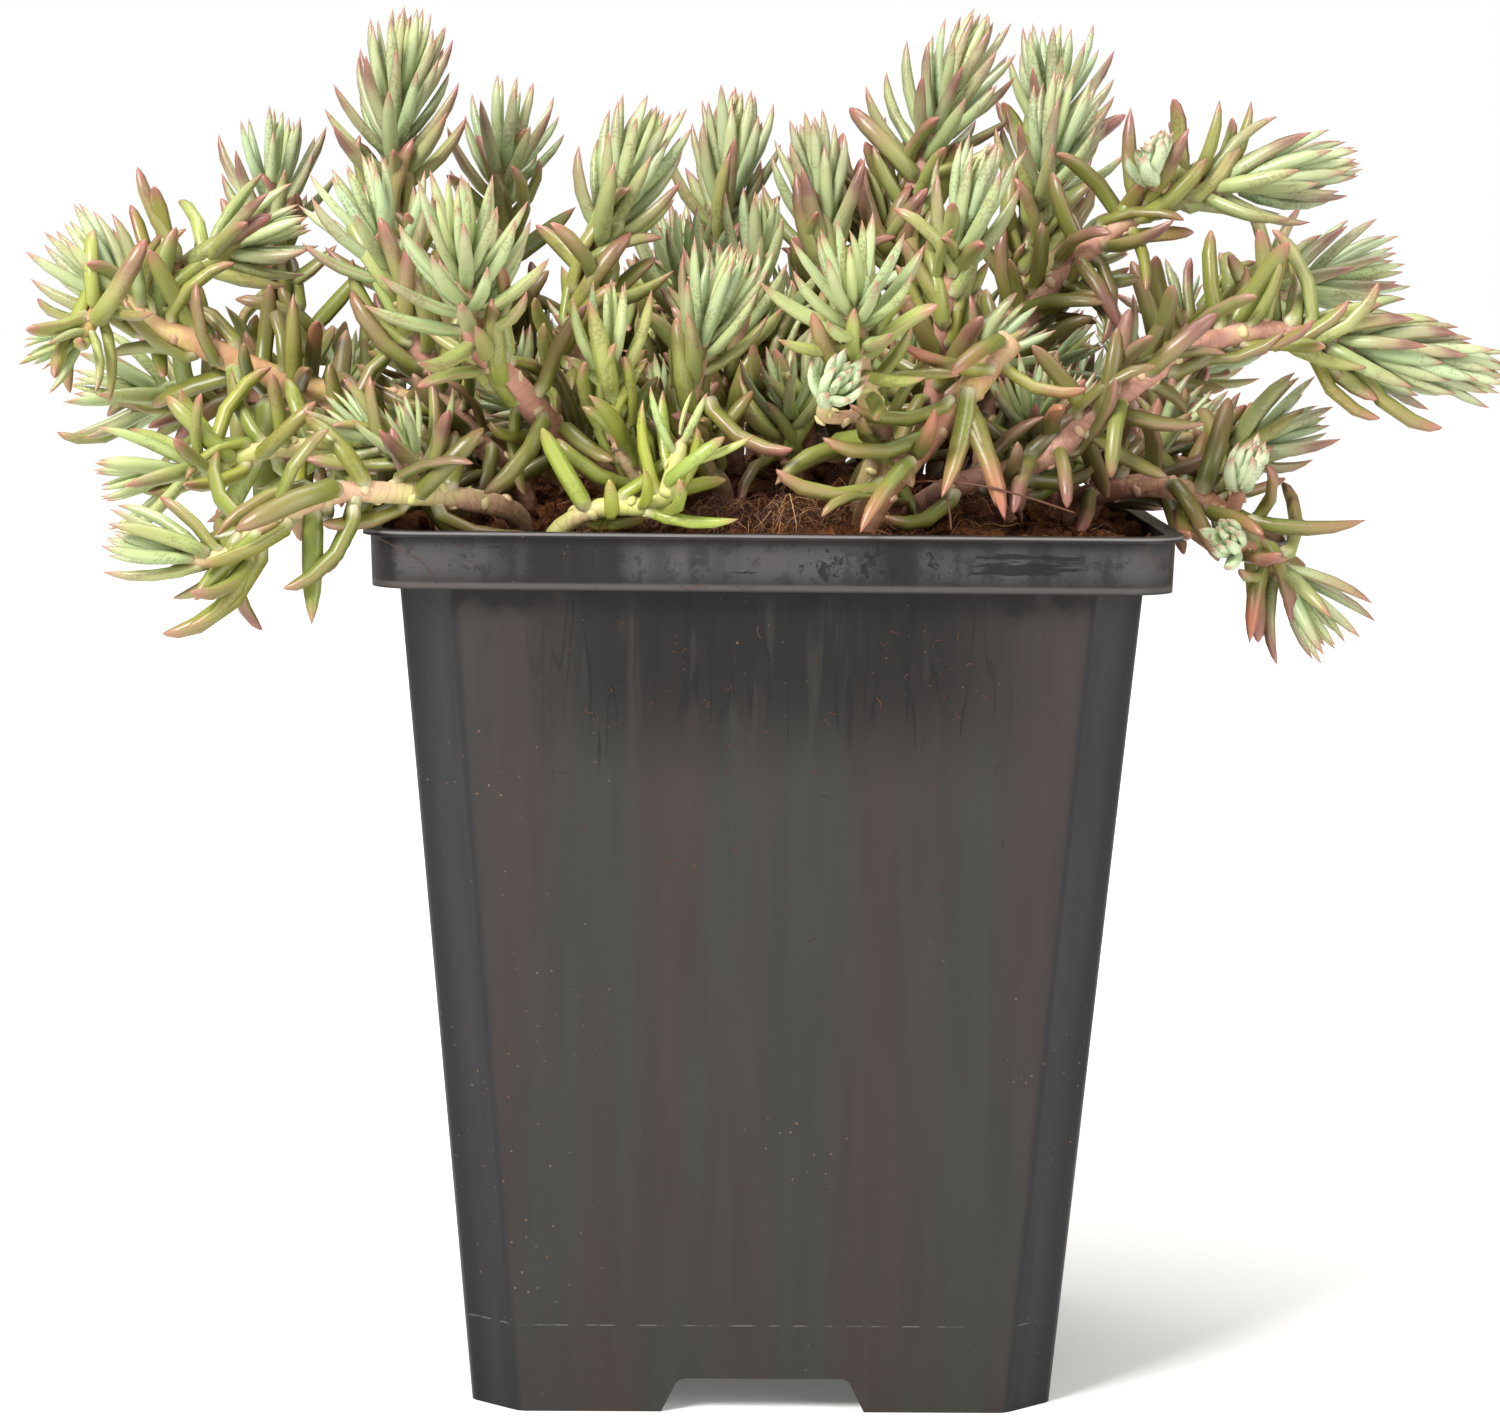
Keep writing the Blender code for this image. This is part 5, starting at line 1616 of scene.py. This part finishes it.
def headLeaf(axis, distance, share, count, size, dice):
    first, gain = headRule["grown"]
    opening = mixed(headRule["closed"], axis.part["opening"], share ** headRule["openPower"])
    angle = math.radians(max(opening + dice.uniform(*headRule["angleDraw"]), headRule["leastAngle"]))
    longest = (axis.length - distance) / math.cos(angle * 0.75) / mm
    length = min(leafShape["headLength"] * min(first + count * gain, 1.0) * size, longest)
    length *= dice.uniform(*headRule["lengthDraw"])
    width = mixed(*headRule["widths"], share) * dice.uniform(*headRule["widthDraw"])
    bend = dice.choice(headRule["innerBends" if share < headRule["innerShare"] else "outerBends"])
    sparse = axis.look.get("sparse", shootShape["budSparse"] if axis.look.get("bud") else 1.0)
    step = mixed(*headRule["steps"], share) * sparse * dice.uniform(*headRule["stepDraw"])
    twist = dice.uniform(*headRule["twistDraw"]) * share
    age = mixed(*headRule["ages"], share)
    return step, dict(
        angle=angle, length=length, width=width, bend=bend, twist=twist, towards="heading", age=age
    )


def stemLeaf(axis, behind, size, dice):
    youngest = axis.part["opening"] - stemRule["closer"]
    spread = mixed(youngest, axis.look.get("spread", stemRule["spread"]), behind)
    angle = math.radians(spread + dice.uniform(*stemRule["angleDraw"]))
    grown = dice.uniform(*stemRule["lengthDraw"]) * mixed(*stemRule["lengths"], behind)
    length = leafShape["length"] * grown * size
    width = mixed(*stemRule["widths"], behind) * dice.uniform(*stemRule["widthDraw"])
    bend = dice.choice(stemRule["bends"])
    twist = dice.uniform(*stemRule["twistDraw"])
    step = stemRule["step"] * axis.part["gap"] * mixed(*stemRule["steps"], behind)
    step *= dice.uniform(*stemRule["stepDraw"])
    drooping = dice.random() < stemRule["drooping"] * behind
    towards = "downward" if drooping else dice.choice(stemRule["towards"])
    age = mixed(*stemRule["ages"], behind)
    return step, dict(
        angle=angle, length=length, width=width, bend=bend, twist=twist, towards=towards, age=age
    )


def leafRules(axis, dice):  # each leaf's place, opening, turn, size, bend and age, from the tip down
    look = axis.look
    size, stout = shootShape["bud"] if look.get("bud") else (look.get("leaf", 1.0), 1.0)
    rules = []
    turn = dice.uniform(0, math.tau)
    distance = axis.apex() if axis.head else axis.length - shootShape["brokenBack"] * mm
    headBase = axis.length - axis.head
    count = 0
    while distance > (headBase if look.get("bud") else axis.part["bare"] * mm):
        turn += math.radians(shootShape["leafTurn"]) + dice.uniform(*shootShape["turnDraw"])
        share = (axis.apex() - distance) / (axis.apex() - headBase) if axis.head else 2.0
        if share <= 1:
            step, rule = headLeaf(axis, distance, share, count, size, dice)
        else:
            aged = min((headBase - distance) / (shootShape["agedOver"] * mm), 1.0)
            step, rule = stemLeaf(axis, aged if axis.head else shootShape["brokenAge"], size, dice)
        hides = axis.sideways(distance, turn).y < shootShape["frontward"] and share > 1
        if not (hides and dice.random() < look.get("openFront", 0.0)):
            rule["width"] *= stout * look.get("slim", 1.0)
            rules.append(dict(rule, distance=distance, turn=turn, inHead=share <= 1))
        distance -= step * mm
        count += 1
    return rules


# More turn, more opening and the share of the length that are tried until a leaf has room
leafTries = [
    (0, 0, 1), (0, -0.2, 1), (0.3, 0, 1), (-0.3, 0, 1), (0, 0.15, 0.92), (0, 0, 0.8), (0.35, -0.2, 0.9),
    (-0.35, -0.2, 0.9), (0.7, 0, 0.9), (-0.7, 0, 0.9), (0, -0.4, 0.85), (0.7, -0.3, 0.8), (-0.7, -0.3, 0.8),
    (1.1, 0, 0.8), (-1.1, 0, 0.8), (1.6, 0, 0.72), (-1.6, 0, 0.72), (0, -0.3, 0.6), (2.4, 0, 0.7),
    (0.5, -0.5, 0.55), (-0.5, -0.5, 0.55),
]


def leafPlace(axis, rule, moreTurn, moreAngle, share):
    distance = rule["distance"]
    heading = axis.heading(distance)
    side = axis.sideways(distance, rule["turn"] + moreTurn)
    angle = max(rule["angle"] + moreAngle, 0.05)
    first = (heading * math.cos(angle) + side * math.sin(angle)).normalized()
    towards = {"heading": heading, "upward": upward, "downward": downward}[rule["towards"]]
    bendSide = towards - first * towards.dot(first)
    bendSide = bendSide.normalized() if bendSide.length > 0.05 else first.orthogonal().normalized()
    bendSide = Quaternion(first, rule["twist"]) @ bendSide
    length = rule["length"] * share * mm
    thick = (length if rule["inHead"] else max(length, leafShape["leastThick"] * mm)) * rule["width"]
    root = axis.at(distance) + side * axis.thickness(distance) * leafShape["rootOut"]
    return framed(root, bendSide * thick, first.cross(bendSide) * thick, first * length)


def placeLeaf(axis, rule, owner, shapes, neighbours, tips):
    mesh, line = shapes[rule["bend"]]
    gap, overlap = leafShape["gap"] * mm, leafShape["ownOverlap"] * mm
    tipThick, coreThick = leafShape["tipThick"], leafShape["coreThick"]
    for moreTurn, moreAngle, share in leafTries:
        place = leafPlace(axis, rule, moreTurn, moreAngle, share)
        root, middle, tip = (place @ point for point in line)
        radius = place.col[1].to_3d().length * leafShape["fatness"]
        halfway = middle.lerp(tip, 0.5)
        points = ((middle, 1), (halfway, 0.9), (tip, 0.3))
        if (
            all(clearOfPot(point, radius * size) for point, size in points)
            and tips.clearance(halfway, tip, radius * coreThick, owner, own=True) >= overlap
            and neighbours.clearance(root, middle, radius, owner) >= gap
            and neighbours.clearance(middle, tip, radius * tipThick, owner) >= gap
        ):
            neighbours.add(root, middle, radius, owner)
            neighbours.add(middle, tip, radius * tipThick, owner)
            tips.add(halfway, tip, radius * coreThick, owner)
            return mesh, place
    return None


def ownLeafPlace(root, tip, side, line):  # fits a bent leaf between two points
    root, tip = Vector(root) * mm, Vector(tip) * mm
    reach = (tip - root).length / line[2].length
    towards = (tip - root).normalized()
    lean = math.atan2(line[2].x, line[2].z)
    bendSide = {"up": upward, "down": downward}[side]
    bendSide = (bendSide - towards * towards.dot(bendSide)).normalized()
    first = towards * math.cos(lean) - bendSide * math.sin(lean)
    across = towards * math.sin(lean) + bendSide * math.cos(lean)
    return framed(root, across * reach, first.cross(across) * reach, first * reach)


def stampStem(bm, axis, tone, dice):
    end = axis.apex() if axis.head else axis.length
    count = max(4, round(end / (shootShape["ringStep"] * mm)))
    reaches = [end * i / count for i in range(count + 1)]
    points = [axis.at(reach) for reach in reaches]
    height, scale = shootShape["lumps"]
    radii = [
        axis.thickness(reach) * (1 + height * noise(point * scale)) for reach, point in zip(reaches, points)
    ]
    along = [reach / (10 * mm) for reach in reaches]
    if "base" in axis.part:
        points.insert(0, points[0] - axis.start * shootShape["buried"] * mm)
        radii.insert(0, axis.radius)
        along.insert(0, -0.3)
    if not axis.head:  # a broken end is blunt
        points.append(points[-1] + axis.heading(axis.length) * 0.3 * mm)
        radii.append(radii[-1] * 0.5)
        along.append(along[-1])
    first = len(bm.verts)
    stampTube(bm, points, radii, shootShape["sides"], (0.5, tone, dice.random(), 0), along, material=1)
    bm.verts.ensure_lookup_table()
    toneLayer, shapeLayer = (bm.verts.layers.float_color[name] for name in ("leafTone", "leafShape"))
    for vert in bm.verts[first:]:  # a stem is oldest at its foot
        share = vert[shapeLayer][0] * 10 * mm / end
        vert[toneLayer] = (min(max(1 - share, 0), 1), *vert[toneLayer][1:3], 0)


def stampSpurs(bm, axis, spur, tone, dice):  # the pale knobs that fallen leaves left on the stem
    distance = spurShape["start"] * mm
    end = axis.length - axis.head
    turn = dice.uniform(0, math.tau)
    tall, wide, deep = (size * mm for size in spurShape["sizes"])
    while distance < end:
        turn += math.radians(shootShape["leafTurn"])
        side = axis.sideways(distance, turn)
        heading = axis.heading(distance)
        root = axis.at(distance) + side * axis.thickness(distance) * spurShape["rootOut"]
        tip = (side + heading * spurShape["lean"]).normalized()
        place = framed(root, heading * tall, side.cross(heading) * wide, tip * deep)
        mood = (spurShape["age"], tone * spurShape["toneShare"], dice.random(), 0)
        stamp(bm, spur, place, tone=mood, material=1)
        distance += spurShape["step"] * mm * dice.uniform(*spurShape["stepDraw"])


def stampLeaf(bm, mesh, place, axis, age, dice):
    look = axis.look
    # painted shade: a leaf low in the plant keeps its age's darker colour, one higher up is toned younger and
    # lighter
    depth = leafMood["deepBelow"] - place.translation.z / mm
    age *= mixed(*leafMood["deepAges"], min(max(depth / leafMood["deepOver"], 0), 1))
    flush = look.get("flush", 0.45) * mixed(*leafMood["flushDraw"], dice.random() ** leafMood["flushPower"])
    least, more = leafMood["flushAges"]
    flush *= least + more * min(age * 3, 1)
    lime = min(max(look.get("lime", 0.0) + dice.uniform(*leafMood["limeDraw"]), 0), 1)
    burn = look.get("burn", 0.0) * dice.random() * leafMood["burnMost"]
    if dice.random() < leafMood["burnChance"] * age:
        burn += dice.random()
    tone = (age, min(flush, 1), dice.random(), lime)
    stamp(bm, mesh, place, tone, mood=(min(burn, 1), 1.0 if look.get("bud") else 0.0))


def makeShoots(leafFinish, stemFinish):
    dice = random.Random(shootShape["seed"])
    addShootsByRule(dice)
    shapes = {}
    for profile in ("young", "old"):
        for name, bend in leafShape[f"{profile}Bends"].items():
            shapes[name] = makeLeafShape(leafShape[profile], bend)
    spur = asMesh(profileBody(spurShape["profile"], 1, spurShape["sides"]), "spur")
    axesOf = {name: makeAxes(parts) for name, parts in shoots.items()}
    for axes in axesOf.values():
        addTwigs(axes, dice)
    neighbours, tips = Neighbours(), Neighbours()
    jobs = []
    for owner, axes in enumerate(axesOf.values()):
        for axis in axes:
            for near, far in zip(axis.points[::3], axis.points[3::3] + axis.points[-1:]):
                neighbours.add(near, far, axis.radius, owner)
            jobs += [(rule["inHead"], owner, axis, rule) for rule in leafRules(axis, dice)]
    jobs.sort(key=lambda job: not job[0])  # the heads come first
    placed = [[] for _ in axesOf]
    for owner, (name, axes) in enumerate(axesOf.items()):
        for root, tip, side, bend in ownLeaves.get(name, ()):
            mesh, line = shapes[bend]
            place = ownLeafPlace(root, tip, side, line)
            points = [place @ point for point in line]
            radius = place.col[1].to_3d().length * leafShape["fatness"]
            neighbours.add(points[0], points[1], radius, owner)
            neighbours.add(points[1], points[2], radius * leafShape["tipThick"], owner)
            placed[owner].append((mesh, place, axes[0], shootShape["ownLeafAge"]))
    for _, owner, axis, rule in jobs:
        found = placeLeaf(axis, rule, owner, shapes, neighbours, tips)
        if found:
            placed[owner].append((*found, axis, rule["age"]))
    for leaves, (name, axes) in zip(placed, axesOf.items()):
        bm = tonedMesh()
        for axis in axes:
            tone = axis.look.get("tone", axes[0].look.get("tone", 0.5))
            stampStem(bm, axis, tone, dice)
            stampSpurs(bm, axis, spur, tone, dice)
        for mesh, place, axis, age in leaves:
            stampLeaf(bm, mesh, place, axis, age, dice)
        piece = newObject(bm, f"shoot_{name}_dressed", [leafFinish, stemFinish])
        asPiece(piece, "succulent", f"shoot_{name}")
    print("leaves:", sum(len(leaves) for leaves in placed), "of", len(jobs))


# Everything

specks = speckGroup()
grain = grainGroup()
makeCamera()
makeLamps()
makeFloor(floorMaterial(grain))
print("studio ready")
plastics = (("potPlastic", bodyColour), ("rimPlastic", rimColour))
makePot([potMaterial(specks, grain, name, colour) for name, colour in plastics])
print("pot ready")
earth = soilMaterial(grain)
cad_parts["soil"].data.materials.clear()
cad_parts["soil"].data.materials.append(earth)
fibre = fibreMaterial(grain)
makeSoil(earth, fibre)
makePotLitter(fibre)
print("soil ready")
makeShoots(leafMaterial(specks, grain), stemMaterial(specks, grain))
print("shoots ready")
